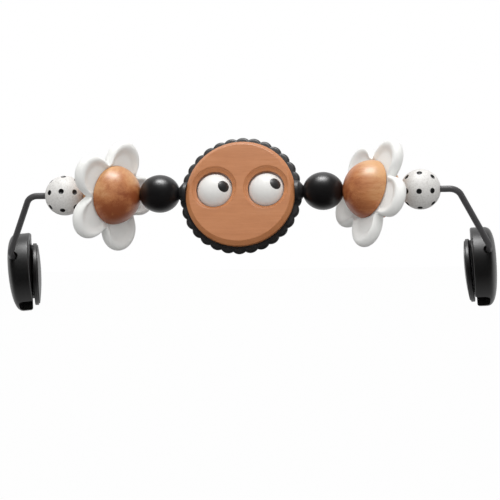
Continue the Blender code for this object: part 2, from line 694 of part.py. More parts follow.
def hinge_rod(name, radius, half_length, matrix):
    """A straight round bar along the hinge."""
    outline = [(-half_length, 0.0), (-half_length, radius), (half_length, radius), (half_length, 0.0)]
    upright = AXIS_X.rotation_difference(Vector((0.0, 0.0, 1.0))).to_matrix().to_4x4()
    return turned(name, outline, PIN_SIDES, AXIS_X, matrix @ upright, closed=False)


def grip_land(side, parent):
    """A slightly raised flat on the front part of the housing's inner face."""
    low = math.asin(GRIP_START / GRIP_RADIUS)
    bend = arc((0.0, 0.0), GRIP_RADIUS, -math.pi + low, -low, 12)
    rim = [(-CLIP_HALF_WIDTH - GRIP_HEIGHT, y, z) for z, y in bend]
    push = (GRIP_HEIGHT + CUT_OVERRUN, 0.0, 0.0)
    mesh = extruded("grip_land", rim, push, mirror_matrix(side), inner_side)
    return piece("grip_land", mesh, parent)


def socket_cutter(name, side, outline, shift, parent):
    """A round cut along the rod's turned-in end, set towards the bar by a shift."""
    aim = clip_turn(side) @ Matrix.Rotation(math.pi / 2.0, 4, "Z")
    inward = clip_turn(side) @ AXIS_X * (side * shift)
    place = Matrix.Translation(leg_corners(side)[1] - inward) @ aim
    return piece(name, turned(name, outline, BORE_SIDES, AXIS_X, place, closed=False), parent)


def cut_socket(housing, side, root):
    """The bore for the rod's end and its flared mouth."""
    bore = ROD_RADIUS + RUNNING_GAP
    start = END_BARE - CUT_OVERRUN
    deep = END_BARE + END_IN_CLIP + SEAT_GAP
    neck = END_BARE + SOCKET_MOUTH_DEPTH
    socket = [(start, 0.0), (start, bore), (deep, bore), (deep, 0.0)]
    combine(housing, socket_cutter("socket", side, socket, 0.0, root), "DIFFERENCE")
    mouth = [(start, 0.0), (start, SOCKET_MOUTH_RADIUS), (END_BARE, SOCKET_MOUTH_RADIUS)]
    mouth += [(neck, bore), (neck, 0.0)]
    cutter = socket_cutter("mouth", side, mouth, SOCKET_MOUTH_SHIFT, root)
    combine(housing, cutter, "DIFFERENCE")


def clip_housing(label, side, clip, root):
    name = label + "_clip_housing"
    outline = housing_outline()
    mesh = turned(name, outline, CLIP_SIDES, AXIS_X, mirror_matrix(side), False, inner_side)
    housing = piece(name, mesh, clip, CLIP_PLASTIC)
    combine(housing, grip_land(side, clip), "UNION")
    combine(housing, notch_cutter(side, -1, SPRING_SEAT, clip), "DIFFERENCE")
    combine(housing, notch_cutter(side, 1, KNUCKLE_INNER - SEAT_GAP, clip), "DIFFERENCE")
    combine(housing, groove_cutter(side, clip), "DIFFERENCE")
    bore = hinge_rod("pin_bore", PIN_RADIUS + PIN_PLAY, CLIP_RADIUS, on_hinge(side))
    combine(housing, piece("pin_bore", bore, clip), "DIFFERENCE")
    cut_socket(housing, side, root)


def jaw_swing(side):
    """Takes the closed jaw, in the clip's frame, to its half open place in the hinge's frame."""
    to_hinge = Matrix.Translation((-hinge_x(), 0.0, 0.0))
    return mirror_matrix(side) @ Matrix.Rotation(-JAW_OPEN, 4, "Z") @ to_hinge


def plate_place(side):
    """Place of the jaw's plate and cover: lower than the housing and along its tapered face."""
    level = Matrix.Rotation(END_SLOPE, 4, "X")
    tilt = Matrix.Rotation(-CLIP_TAPER, 4, "Y")
    drop = Matrix.Translation((0.0, 0.0, -JAW_DROP))
    return jaw_swing(side) @ level @ drop @ tilt


def jaw_face():
    return -CLIP_HALF_WIDTH - JAW_MIDDLE_GAP


def plate_outline(face, thickness, radius, rounding):
    """Outline about X of a flat round plate with small rounded edges."""
    back = face - thickness
    return [
        (face, 0.0), (face, radius - rounding), (face - rounding, radius),
        (back + rounding, radius), (back, radius - rounding), (back, 0.0),
    ]


def jaw_arm(side, end, parent):
    """One hinge knuckle with the arm that joins it to the plate."""
    back = jaw_face() - JAW_THICKNESS / 2.0
    lean = math.asin(ARM_HALF_WIDTH / KNUCKLE_RADIUS)
    barrel = arc((hinge_x(), 0.0), KNUCKLE_RADIUS, -math.pi + lean, math.pi - lean, 12)
    outline = barrel + [(back, ARM_HALF_WIDTH), (back, -ARM_HALF_WIDTH)]
    rim = [(x, y, end * KNUCKLE_INNER) for x, y in outline]
    push = (0.0, 0.0, end * (KNUCKLE_OUTER - KNUCKLE_INNER))
    return piece("arm", extruded("arm", rim, push, jaw_swing(side)), parent)


def jaw_web(side, parent):
    """The web between the two arms, which runs in the housing's groove."""
    back = jaw_face() - JAW_THICKNESS / 2.0
    tip = -CLIP_HALF_WIDTH + WEB_DEPTH
    half = WEB_HALF_WIDTH
    foot = -KNUCKLE_INNER - SEAT_GAP
    rim = [(back, -half, foot), (back, half, foot), (tip, half, foot), (tip, -half, foot)]
    mesh = extruded("web", rim, (0.0, 0.0, -foot - foot), jaw_swing(side))
    return piece("web", mesh, parent)


def clip_jaw(label, side, hinge):
    plate = plate_outline(jaw_face(), JAW_THICKNESS, JAW_RADIUS, JAW_EDGE_ROUND)
    name = label + "_clip_jaw"
    mesh = turned(name, plate, JAW_SIDES, AXIS_X, plate_place(side), closed=False)
    jaw = piece(name, mesh, hinge, CLIP_PLASTIC)
    for end in (-1, 1):
        combine(jaw, jaw_arm(side, end, hinge), "UNION")
    combine(jaw, jaw_web(side, hinge), "UNION")
    bore = hinge_rod("jaw_bore", PIN_RADIUS + PIN_PLAY, CLIP_RADIUS, Matrix.Identity(4))
    combine(jaw, piece("jaw_bore", bore, hinge), "DIFFERENCE")


def jaw_cover(label, side, hinge):
    back = jaw_face() - JAW_THICKNESS - SEAT_GAP
    edge = back - COVER_EDGE
    outline = [(back, 0.0), (back, COVER_RADIUS), (edge, COVER_RADIUS)]
    for share in COVER_RING_SHARES:
        outline.append((edge - COVER_CROWN * (1.0 - share**2), COVER_RADIUS * share))
    name = label + "_jaw_cover"
    mesh = turned(name, outline, JAW_SIDES, AXIS_X, plate_place(side), closed=False)
    piece(name, mesh, hinge, CLIP_PLASTIC)


def spring_points():
    """A torsion spring about the pin, with one leg to the notch's wall and one to the jaw's arm."""
    start = -SPRING_SEAT - SEAT_GAP - SPRING_WIRE
    count = int(SPRING_TURNS * SPRING_STEPS)
    coil = []
    for step in range(count + 1):
        turn = FULL_TURN * step / SPRING_STEPS
        z = start - SPRING_PITCH * turn / FULL_TURN
        coil.append(Vector((SPRING_RADIUS * math.cos(turn), SPRING_RADIUS * math.sin(turn), z)))
    first = coil[0] - AXIS_Y * SPRING_LEG
    last = coil[-1] - AXIS_Y * SPRING_LEG
    return [first] + coil + [last]


def print_least_gap(name, points, radius):
    """Print the least gap between a wound wire's surface and itself, measured on its points."""
    apart = SPRING_STEPS // 2
    gaps = [(far - near).length for i, near in enumerate(points) for far in points[i + apart:]]
    print(f"{name}: least gap to itself {(min(gaps) - 2.0 * radius) / MM:.2f} mm")


def clip(side, root):
    label = "left" if side == LEFT else "right"
    lower = leg_corners(side)[1]
    swivel = pivot(label + "_clip_pivot", root, Matrix.Translation(lower))
    frame = pivot(label + "_clip_frame", swivel, Matrix.Translation(-lower) @ clip_matrix(side))
    clip_housing(label, side, frame, root)
    pin = hinge_rod(label + "_hinge_pin", PIN_RADIUS, PIN_HALF_LENGTH, on_hinge(side))
    piece(label + "_hinge_pin", pin, frame, STEEL)
    points = [on_hinge(side) @ mirror_matrix(side) @ point for point in spring_points()]
    print_least_gap(label + "_hinge_spring", points, SPRING_WIRE)
    tube(label + "_hinge_spring", points, SPRING_WIRE, WIRE_ROUNDNESS, frame, STEEL)
    hinge = pivot(label + "_jaw_pivot", frame, on_hinge(side))
    clip_jaw(label, side, hinge)
    jaw_cover(label, side, hinge)


def disc(root):
    hub = pivot("disc_pivot", root, Matrix.Rotation(-DISC_PITCH, 4, "X"))
    disc_half("front_disc_half", -1, hub)
    disc_half("rear_disc_half", 1, hub)
    scalloped_ring(hub)
    for side in (LEFT, RIGHT):
        eye(side, root)


def smooth_faces():
    for thing in bpy.data.objects:
        if thing.type == "MESH":
            thing.data.shade_smooth()
            thing.data.set_sharp_from_angle(angle=SMOOTH_ANGLE)


def centre_on_box(root):
    """Move everything so that the whole part's box is centred on the origin."""
    bpy.context.view_layer.update()
    depsgraph = bpy.context.evaluated_depsgraph_get()
    corners = []
    for thing in bpy.data.objects:
        if thing.type in {"MESH", "CURVE"}:
            shape = thing.evaluated_get(depsgraph)
            mesh = shape.to_mesh()
            corners += [thing.matrix_world @ vert.co for vert in mesh.vertices]
            shape.to_mesh_clear()
    low = Vector([min(corner[axis] for corner in corners) for axis in range(3)])
    high = Vector([max(corner[axis] for corner in corners) for axis in range(3)])
    root.location = -(low + high) / 2.0


def build():
    clear_scene()
    root = pivot("bar_origin", None, Matrix.Identity(4))
    black_x, flower_x, dotted_x, _ = stack_centres()
    support_rod(root)
    disc(root)
    for side, label in ((LEFT, "left"), (RIGHT, "right")):
        black = (BLACK_BEAD_LONG, BLACK_BEAD_ROUND, BLACK_BEAD_END)
        dotted = (DOTTED_BEAD_RADIUS, DOTTED_BEAD_RADIUS, DOTTED_BEAD_END)
        bead(label + "_black_bead", root, side * black_x, black, BLACK_PAINT)
        bead(label + "_dotted_bead", root, side * dotted_x, dotted, WHITE_PAINT)
        flower(side, flower_x, root)
        clip(side, root)
    smooth_faces()
    centre_on_box(root)


build()
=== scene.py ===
"""Looks of a toy bar for a baby bouncer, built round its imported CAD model.

The bar runs along X, the side that faces the viewer is -Y, and Z is up.
Every piece is made in place, so that its object stands at the origin as the CAD nodes do.
"""

import json
import math

import bmesh
import bpy
from mathutils import Matrix, Vector


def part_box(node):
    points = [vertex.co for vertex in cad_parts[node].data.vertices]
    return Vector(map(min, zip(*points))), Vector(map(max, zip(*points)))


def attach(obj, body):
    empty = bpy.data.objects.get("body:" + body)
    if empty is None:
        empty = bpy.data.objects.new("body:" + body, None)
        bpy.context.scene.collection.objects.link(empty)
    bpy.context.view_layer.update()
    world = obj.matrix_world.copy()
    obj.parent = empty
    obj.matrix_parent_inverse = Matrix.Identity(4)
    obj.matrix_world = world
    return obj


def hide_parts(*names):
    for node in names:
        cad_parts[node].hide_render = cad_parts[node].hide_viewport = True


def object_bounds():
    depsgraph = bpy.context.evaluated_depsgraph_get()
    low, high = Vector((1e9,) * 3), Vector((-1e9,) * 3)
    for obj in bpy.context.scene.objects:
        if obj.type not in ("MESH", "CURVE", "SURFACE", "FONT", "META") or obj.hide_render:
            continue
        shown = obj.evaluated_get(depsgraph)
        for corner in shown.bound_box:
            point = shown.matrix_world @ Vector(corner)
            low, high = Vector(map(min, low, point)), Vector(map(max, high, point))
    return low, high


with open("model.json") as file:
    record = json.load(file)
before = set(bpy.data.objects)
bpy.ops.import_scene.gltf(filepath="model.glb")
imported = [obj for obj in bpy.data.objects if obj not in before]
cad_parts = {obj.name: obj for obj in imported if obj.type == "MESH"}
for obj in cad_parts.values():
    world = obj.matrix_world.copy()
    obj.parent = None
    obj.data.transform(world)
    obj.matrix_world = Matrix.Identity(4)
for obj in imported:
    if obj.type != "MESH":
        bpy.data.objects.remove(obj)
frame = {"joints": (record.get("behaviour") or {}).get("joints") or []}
cad_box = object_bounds()

MM = 0.001
DEG = math.pi / 180.0
FULL_TURN = 2.0 * math.pi
LEFT, RIGHT = -1, 1
LABELS = {LEFT: "left", RIGHT: "right"}
AXIS_X = Vector((1.0, 0.0, 0.0))
AXIS_Y = Vector((0.0, 1.0, 0.0))
AXIS_Z = Vector((0.0, 0.0, 1.0))

# Turned forms are made round X, and these stand them about Y or Z
ABOUT_Y = Matrix.Rotation(math.pi / 2.0, 4, "Z")
UPRIGHT = AXIS_X.rotation_difference(AXIS_Z).to_matrix().to_4x4()

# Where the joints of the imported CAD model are. The disc turns on the rod's straight run
joint_places = {joint["name"]: Vector(joint["pos_m"]) for joint in frame["joints"]}
ROD_ORIGIN = joint_places["disc_spin"]
ON_ROD = Matrix.Translation(ROD_ORIGIN)

# Fits
SEAT_GAP = 0.3 * MM
RUNNING_GAP = 0.35 * MM
CUT_OVERRUN = 2.0 * MM
WELD_DISTANCE = 0.001 * MM
ON_CUT = 0.01 * MM
CREASE_ANGLE = 32.0 * DEG
RING_CREASE_ANGLE = 40.0 * DEG
PETAL_CREASE_ANGLE = 50.0 * DEG

# Sides and steps that the round forms are made with
EDGE_STEPS = 3
DISC_EDGE_STEPS = 6
COLLAR_EDGE_STEPS = 5
JAW_EDGE_STEPS = 5
BEND_STEPS = 14
ROD_SIDES = 40
BORE_SIDES = 40
BLACK_BEAD_MESH = (96, 48)
DOTTED_BEAD_MESH = (112, 56)
DOT_SIDES = 32
DOT_STEPS = 24
EYE_SIDES = 112
EYE_STEPS = 56
EYE_HOLE_SIDES = 96
EYE_CAVITY_SIDES = 80
EYE_CAVITY_STEPS = 37
COVE_STEPS = 12
PUPIL_SIDES = 64
PUPIL_STEPS = 14
DISC_SIDES = 160
SCALLOP_STEPS = 18
RIM_STEPS = 12
COLLAR_SIDES = 80
PETAL_SPOKES = 40
PETAL_STEPS = 22
BALL_SIDES = 128
BALL_STEPS = 64
CLIP_SIDES = 144
JAW_SIDES = 128
COVER_STEPS = 20
CROWN_STEPS = 28
INNER_EDGE_STEPS = 6
GRIP_STEPS = 40
NOTCH_STEPS = 8
BARREL_STEPS = 36
PIN_SIDES = 32
COIL_STEPS = 40
WIRE_SIDES = 12

# Rod
ROD_RADIUS = 3.2 * MM
BEND_RADIUS = 12.0 * MM
END_BEND_RADIUS = 7.5 * MM
LEG_DROP = 56.5 * MM
LEG_SPLAY_SHARE = 0.51
LEG_BACK_SHARE = 0.68
END_SLOPE = 26.0 * DEG
END_BARE = 8.5 * MM
END_IN_CLIP = 22.0 * MM
SWIVEL_ALONG_END = 30.0 * MM

# Beads
BEAD_ENDS = {"black_bead": 5.6 * MM, "dotted_bead": 4.9 * MM, "eyeball": 5.0 * MM, "ball": 5.8 * MM}
BLACK_BEAD_ROUND = 19.0 * MM
DOTTED_BEAD_ROUND = 20.1 * MM
BEAD_EDGE = 0.6 * MM
DOT_RADIUS = 2.75 * MM
DOT_CUTTER_RADIUS = 3.8 * MM
DOTS_ROUND = 6
DOT_LATITUDES = (-40.0 * DEG, 0.0, 40.0 * DEG)
DOT_ROLL = {LEFT: 71.0 * DEG, RIGHT: 53.0 * DEG}

# Eyes
EYE_SPACING = 52.0 * MM
EYE_RADIUS = 18.6 * MM
EYE_CAVITY_GAP = 1.2 * MM
EYE_END_GAP = 0.6 * MM
EYE_HOLE_LIP = 0.4 * MM
EYE_HOLE_RAISE = 1.5 * MM
EYE_BEVEL_WIDTH = 4.2 * MM
EYE_BEVEL_DEPTH = 3.4 * MM
EYE_BEVEL_SWEEP = 62.0 * DEG
EYE_BEVEL_ROUND = 0.5 * MM
EYE_HOLE_SPIN = 1.3 * DEG
EYE_CAVITY_SPIN = 1.7 * DEG
PUPIL_RADIUS = 6.1 * MM
PUPIL_DEPTH = 2.4 * MM
PUPIL_CROWN = 0.4 * MM
PUPIL_LATITUDE = 34.6 * DEG
EYE_PITCH = {LEFT: 24.4 * DEG, RIGHT: 32.7 * DEG}

# Disc and its scalloped ring
DISC_RADIUS = 54.9 * MM
DISC_HALF_THICKNESS = 11.6 * MM
DISC_CHAMFER_WIDTH = 3.9 * MM
DISC_CHAMFER_DEPTH = 4.1 * MM
DISC_CHAMFER_ROUND = 1.0 * MM
DISC_SEAM_ROUND = 0.4 * MM
DISC_BELOW_ROD = 3.5 * MM
DISC_PITCH = 18.4 * DEG
RING_TIP_RADIUS = 61.5 * MM
RING_BORE_RADIUS = 46.0 * MM
RING_HALF_THICKNESS = 3.25 * MM
RING_EDGE_ROUND = 3.2 * MM
SCALLOPS = 30
SCALLOP_RADIUS = 8.8 * MM
COLLAR_REACH = 7.5 * MM
COLLAR_RADIUS = 11.2 * MM
COLLAR_NOSE_RADIUS = 6.2 * MM
COLLAR_NOSE_LENGTH = 4.4 * MM
COLLAR_ROUND = 1.1 * MM

# Petal wheels
BALL_LONG = 29.2 * MM
BALL_ROUND = 30.0 * MM
BALL_RIM_ROUND = 0.5 * MM
PLATE_TILT = {LEFT: 37.0 * DEG, RIGHT: 41.5 * DEG}
PLATE_BELOW_ROD = 1.4 * MM
SEAT_HALF_THICKNESS = 3.4 * MM
SEAT_RADIUS = 31.2 * MM
PETALS = 5
PETAL_TIP_RADIUS = 57.4 * MM
PETAL_HALF_WIDTH = 20.0 * MM
PETAL_NOTCH_RADIUS = 33.0 * MM
PETAL_HALF_THICKNESS = 6.0 * MM
PETAL_EDGE_ROUND = 5.4 * MM
PETAL_DISH = 3.4 * MM
PETAL_DISH_RUN = 10.0 * MM
PETAL_PHASE = -8.0 * DEG
FLOWER_ROLL = {LEFT: 11.3 * DEG, RIGHT: -23.3 * DEG}

# Clips: in a clip's own frame X points out from the bar, -Y points back up the rod's end,
# and Z is the hinge's direction
CLIP_RADIUS = 40.2 * MM
CLIP_HALF_WIDTH = 12.2 * MM
CLIP_OUTER_ROUND = 12.0 * MM
CLIP_INNER_ROUND = 1.8 * MM
CLIP_CROWN_POWER = 2.9
CLIP_TURN = 5.5 * DEG
CLIP_LEAN = {LEFT: -5.0 * DEG, RIGHT: -1.6 * DEG}
CLIP_TAPER = 1.3 * DEG
CLIP_RELIEF = 13.5 * DEG
ROD_OFF_CENTRE = 4.1 * MM
SOCKET_MOUTH_RADIUS = 4.8 * MM
SOCKET_MOUTH_DEPTH = 5.0 * MM
SOCKET_MOUTH_SHIFT = 1.2 * MM
GRIP_RADIUS = 34.0 * MM
GRIP_HEIGHT = 0.4 * MM
GRIP_START = 21.0 * MM
NOTCH_HALF_WIDTH = 10.0 * MM
NOTCH_ROUND = 5.0 * MM
NOTCH_DEPTH_PAST_PIN = 8.0 * MM

# Jaw, hinge pin and spring
JAW_RADIUS = 32.2 * MM
JAW_THICKNESS = 3.9 * MM
JAW_DROP = 2.6 * MM
JAW_MIDDLE_GAP = 0.6 * MM
JAW_OPEN = 5.2 * DEG
JAW_EDGE_ROUND = 0.8 * MM
COVER_RADIUS = 30.4 * MM
COVER_EDGE = 0.8 * MM
COVER_CROWN = 2.3 * MM
HINGE_INSET = 8.0 * MM
WEB_HALF_WIDTH = 1.8 * MM
WEB_DEPTH = 1.6 * MM
GROOVE_HALF_WIDTH = 4.2 * MM
GROOVE_DEPTH = 2.7 * MM
KNUCKLE_RADIUS = 4.5 * MM
KNUCKLE_INNER = 22.5 * MM
KNUCKLE_OUTER = 29.4 * MM
ARM_HALF_WIDTH = 3.2 * MM
PIN_RADIUS = 1.5 * MM
PIN_HALF_LENGTH = 30.5 * MM
PIN_PLAY = 0.3 * MM
PIN_END_ROUND = 0.4 * MM
SPRING_WIRE = 0.45 * MM
SPRING_RADIUS = 2.6 * MM
SPRING_PITCH = 1.4 * MM
SPRING_TURNS = 2.5
SPRING_LEG = 4.2 * MM
SPRING_SEAT = 17.6 * MM

# Shades of beech from dark to pale, the way its fibres run, and where the balls' painted shade falls: darker
# mainly towards the bottom, paler at the top
DISC_BEECH = ((0.45, 0.16, 0.055), (0.54, 0.212, 0.08), (0.62, 0.265, 0.11))
# The balls' dark and pale shades are partly the wood's own tone and partly painted shade at the bottom and
# painted light at the top
BALL_BEECH = ((0.32, 0.082, 0.024), (0.55, 0.21, 0.075), (0.70, 0.38, 0.17))
BALL_FIBRES = {LEFT: (0.35, -0.9, 0.2), RIGHT: (1.0, 0.0, 0.0)}
# Painted shade and painted light: each ball's tone is pushed darker along this direction, mainly downwards,
# and paler the other way, upwards
BALL_PAINTED_SHADE = {LEFT: (0.16, -0.14, -0.34), RIGHT: (-0.3, 0.16, -0.22)}

# Camera and studio
VIEW_TURN = 7.7 * DEG
VIEW_ROLL = 0.854 * DEG
VIEW_DISTANCE = 2.8
PICTURE_WIDTH = 0.5
SENSOR_WIDTH = 36.0
ROD_IN_PICTURE = (-8.75 * MM, 57.55 * MM)
FLOOR_REACH = 6.0
FLOOR_SHADE = (0.3, 0.3, 0.3)
FLOOR_GLOW_SHARE = 0.985
FLOOR_GLOSS_FADE = (-0.06, 0.08)
SKY_GLOSS_FADE = (0.05, 0.6)
SOFTBOX_SIZE = (1.6, 1.1)
SOFTBOX_PLACE = (0.0, -0.15, 1.5)
SOFTBOX_BRIGHTNESS = 2.2
SHEEN_SIZE = (0.8, 0.5)
SHEEN_PLACE = (0.0, -0.28, 1.5)
SHEEN_BRIGHTNESS = 24.0
AMBIENT = 0.5
FILL = 0.8
FILL_FROM = (0.15, -0.82, 0.4)
FILL_EDGE = -0.05


class Wire:
    """One output among a finish's nodes. Sums written with wires add Math nodes."""

    def __init__(self, finish, socket):
        self.finish, self.socket = finish, socket

    def maths(self, operation, *values):
        settings = {"operation": operation}
        return self.finish.node("ShaderNodeMath", settings, dict(enumerate(values)))

    def __add__(self, other):
        return self.maths("ADD", self, other)

    def __sub__(self, other):
        return self.maths("SUBTRACT", self, other)

    def __rsub__(self, other):
        return self.maths("SUBTRACT", other, self)

    def __mul__(self, other):
        return self.maths("MULTIPLY", self, other)

    __radd__ = __add__
    __rmul__ = __mul__


class Finish:
    """A material in the making."""

    def __init__(self, name):
        self.material = bpy.data.materials.new(name)
        self.material.use_nodes = True
        self.tree = self.material.node_tree
        self.shader = self.tree.nodes["Principled BSDF"]

    def node(self, kind, settings=None, values=None, output=0):
        made = self.tree.nodes.new(kind)
        for key, setting in (settings or {}).items():
            if key == "stops":
                self.fill_ramp(made.color_ramp, setting)
            else:
                setattr(made, key, setting)
        self.feed(made, values or {})
        return Wire(self, made.outputs[output])

    def feed(self, made, values):
        for key, value in values.items():
            if isinstance(value, Wire):
                self.tree.links.new(value.socket, made.inputs[key])
            else:
                made.inputs[key].default_value = value

    def fill_ramp(self, ramp, stops):
        while len(ramp.elements) < len(stops):
            ramp.elements.new(1.0)
        for element, (place, shade) in zip(ramp.elements, stops):
            element.position = place
            element.color = (*shade, 1.0) if isinstance(shade, tuple) else (shade, shade, shade, 1.0)

    def place(self, matrix=None):
        """Place on the piece, in the frame of matrix if given, in metres."""
        spot = self.node("ShaderNodeTexCoord", output="Object")
        if matrix is None:
            return spot
        values = {
            "Vector": spot,
            "Location": matrix.to_translation(),
            "Rotation": matrix.to_euler(),
        }
        return self.node("ShaderNodeMapping", {"vector_type": "TEXTURE"}, values)

    def stretched(self, place, stretch):
        return self.node("ShaderNodeVectorMath", {"operation": "MULTIPLY"}, {0: place, 1: stretch})

    def noise(self, place, scale, detail=2.0, roughness=0.5, distortion=0.0):
        values = {
            "Vector": place, "Scale": scale, "Detail": detail,
            "Roughness": roughness, "Distortion": distortion,
        }
        return self.node("ShaderNodeTexNoise", None, values)

    def cells(self, place, scale):
        return self.node("ShaderNodeTexVoronoi", None, {"Vector": place, "Scale": scale}, "Distance")

    def ramp(self, factor, stops):
        return self.node("ShaderNodeValToRGB", {"stops": stops}, {"Fac": factor})

    def mixed(self, factor, first, second):
        """Blend two colours. The sockets are numbered, because a Mix node has one set for each kind."""
        shades = [shade if isinstance(shade, Wire) else (*shade, 1.0) for shade in (first, second)]
        return self.node("ShaderNodeMix", {"data_type": "RGBA"}, {0: factor, 6: shades[0], 7: shades[1]}, 2)

    def dot(self, direction, other):
        """How far one vector runs along another."""
        return self.node("ShaderNodeVectorMath", {"operation": "DOT_PRODUCT"}, {0: direction, 1: other}, 1)

    def rays(self, *kinds):
        """Masks that are 1 for rays of a kind."""
        return [self.node("ShaderNodeLightPath", output=f"Is {kind} Ray") for kind in kinds]

    def eased(self, value, start, end, low=0.0, high=1.0):
        """Carry value smoothly from low at start to high at end."""
        stops = {"Value": value, "From Min": start, "From Max": end, "To Min": low, "To Max": high}
        return self.node("ShaderNodeMapRange", {"interpolation_type": "SMOOTHSTEP"}, stops)

    def bump(self, height, distance):
        return self.node("ShaderNodeBump", None, {"Height": height, "Distance": distance, "Strength": 1.0})

    def done(self, **values):
        """Feed the shader and hand over the material. Names are the shader's own, with _ for a space."""
        self.feed(self.shader, {key.replace("_", " "): value for key, value in values.items()})
        return self.material


class Backdrop(Finish):
    """The world's nodes."""

    def __init__(self):
        world = bpy.data.worlds.new("studio")
        bpy.context.scene.world = world
        world.use_nodes = True
        self.tree = world.node_tree
        self.shader = self.tree.nodes["Background"]


def beech(name, matrix, shades, fibre_along, figure, painted_shade_toward=(0.0, 0.0, 0.0)):
    """Oiled beech: long fibres, soft bands and clouds, short dark flecks, and where a direction is given,
    painted shade that darkens the piece along it and painted light that pales it the other way.
    """
    finish = Finish(name)
    dark, middle, pale = shades
    turn = fibre_along.rotation_difference(AXIS_X).inverted().to_matrix().to_4x4()
    place = finish.place(matrix @ turn)
    bands = finish.noise(finish.stretched(place, (6.0, 60.0, 75.0)), 1.0, 2.0, 0.5, 0.5)
    streaks = finish.noise(finish.stretched(place, (20.0, 260.0, 360.0)), 1.0, 3.0, 0.55)
    fibres = finish.noise(finish.stretched(place, (90.0, 1300.0, 1500.0)), 1.0, 2.0, 0.6)
    flecks = finish.noise(finish.stretched(place, (260.0, 1500.0, 900.0)), 1.0, 1.0, 0.5)
    cloud = finish.noise(finish.stretched(place, (22.0, 42.0, 42.0)), 1.0, 2.0, 0.5)
    speck = finish.ramp(flecks, [(0.6, 0.0), (0.7, 1.0)])
    # Painted shade and painted light: the tone darkens along the given direction and pales against it
    side = finish.dot(finish.place(matrix), painted_shade_toward)
    grain = (bands - 0.5) * figure + (streaks - 0.5) * 0.4 + (fibres - 0.5) * 0.3 + (cloud - 0.5) * 0.3
    shade = finish.ramp(grain - side + 0.5, [(0.2, dark), (0.5, middle), (0.8, pale)])
    shade = finish.mixed(speck * 0.16, shade, dark)
    rough = (streaks - 0.5) * 0.15 + (fibres - 0.5) * 0.1 + 0.38
    skin = finish.bump(fibres * 0.6 + streaks * 0.4 - speck * 0.3, 0.00005)
    return finish.done(Base_Color=shade, Roughness=rough, Normal=skin)


def satin_paint(name, pale, shadow, roughness, sheen):
    """Sprayed paint: nearly even, with faint clouds and a very shallow orange peel."""
    finish = Finish(name)
    place = finish.place()
    cloud = finish.noise(place, 45.0, 3.0, 0.55)
    peel = finish.noise(place, 900.0, 2.0, 0.5)
    shade = finish.mixed(finish.ramp(cloud, [(0.35, 0.0), (0.7, 1.0)]) * 0.6, pale, shadow)
    rough = cloud * 0.08 + peel * 0.05 + (roughness - 0.06)
    return finish.done(
        Base_Color=shade, Roughness=rough, Normal=finish.bump(peel, 0.00003), Specular_IOR_Level=sheen,
    )


def speckled_paint(name):
    """Thin white paint over turned wood: fine stipple and pinholes."""
    finish = Finish(name)
    place = finish.place()
    stipple = finish.noise(place, 620.0, 3.0, 0.65)
    pins = finish.cells(place, 520.0)
    holes = finish.ramp(pins, [(0.1, 1.0), (0.26, 0.0)])
    grain = finish.noise(finish.stretched(place, (60.0, 420.0, 420.0)), 1.0, 3.0, 0.6)
    mottle = finish.ramp(stipple, [(0.38, 1.0), (0.56, 0.0)])
    shade = finish.mixed(mottle * 0.45, (0.80, 0.785, 0.76), (0.56, 0.54, 0.51))
    shade = finish.mixed(holes * 0.5, shade, (0.42, 0.39, 0.36))
    rough = stipple * 0.15 + grain * 0.1 + 0.4
    skin = finish.bump(stipple * 0.7 + grain * 0.3 - holes * 0.5, 0.00022)
    return finish.done(Base_Color=shade, Roughness=rough, Normal=skin)


def dark_skin(name, shade, lift, roughness, scale, depth, sheen=0.5):
    """Black paint or moulded plastic: a fine even texture, worn a little paler and duller in patches."""
    finish = Finish(name)
    place = finish.place()
    skin = finish.noise(place, scale, 3.0, 0.6)
    wear = finish.noise(place, 60.0, 3.0, 0.6)
    worn = finish.ramp(wear, [(0.42, 0.0), (0.72, 1.0)])
    colour = finish.mixed(worn * 0.5, shade, lift)
    rough = wear * 0.14 + skin * 0.06 + (roughness - 0.1)
    return finish.done(
        Base_Color=colour, Roughness=rough, Normal=finish.bump(skin, depth), Specular_IOR_Level=sheen,
    )


def bright_wire(name):
    """Drawn steel, with fine lines along the wire."""
    finish = Finish(name)
    drawn = finish.noise(finish.stretched(finish.place(), (900.0, 900.0, 120.0)), 1.0, 3.0, 0.6)
    shade = finish.mixed(drawn, (0.42, 0.43, 0.45), (0.66, 0.67, 0.69))
    return finish.done(
        Base_Color=shade, Metallic=1.0, Roughness=drawn * 0.2 + 0.2, Normal=finish.bump(drawn, 0.00002),
    )


def lathe(outline, sides, closed=False):
    """Spin (along, radius) points about X. A point on the axis becomes a pole."""
    bm = bmesh.new()
    rows = []
    for along, radius in outline:
        count = sides if radius > 0.0 else 1
        turns = [FULL_TURN * k / sides for k in range(count)]
        rows.append([
            bm.verts.new((along, radius * math.sin(turn), radius * math.cos(turn))) for turn in turns
        ])
    for here, there in zip(rows, rows[1:] + (rows[:1] if closed else [])):
        bridge(bm, here, there)
    return bm


def bridge(bm, here, there):
    """Faces between two rings of points, or between a ring and a pole."""
    count = max(len(here), len(there))
    for k in range(count):
        corners = [here[k % len(here)], here[(k + 1) % len(here)]]
        corners += [there[(k + 1) % len(there)], there[k % len(there)]]
        bm.faces.new(list(dict.fromkeys(corners)))


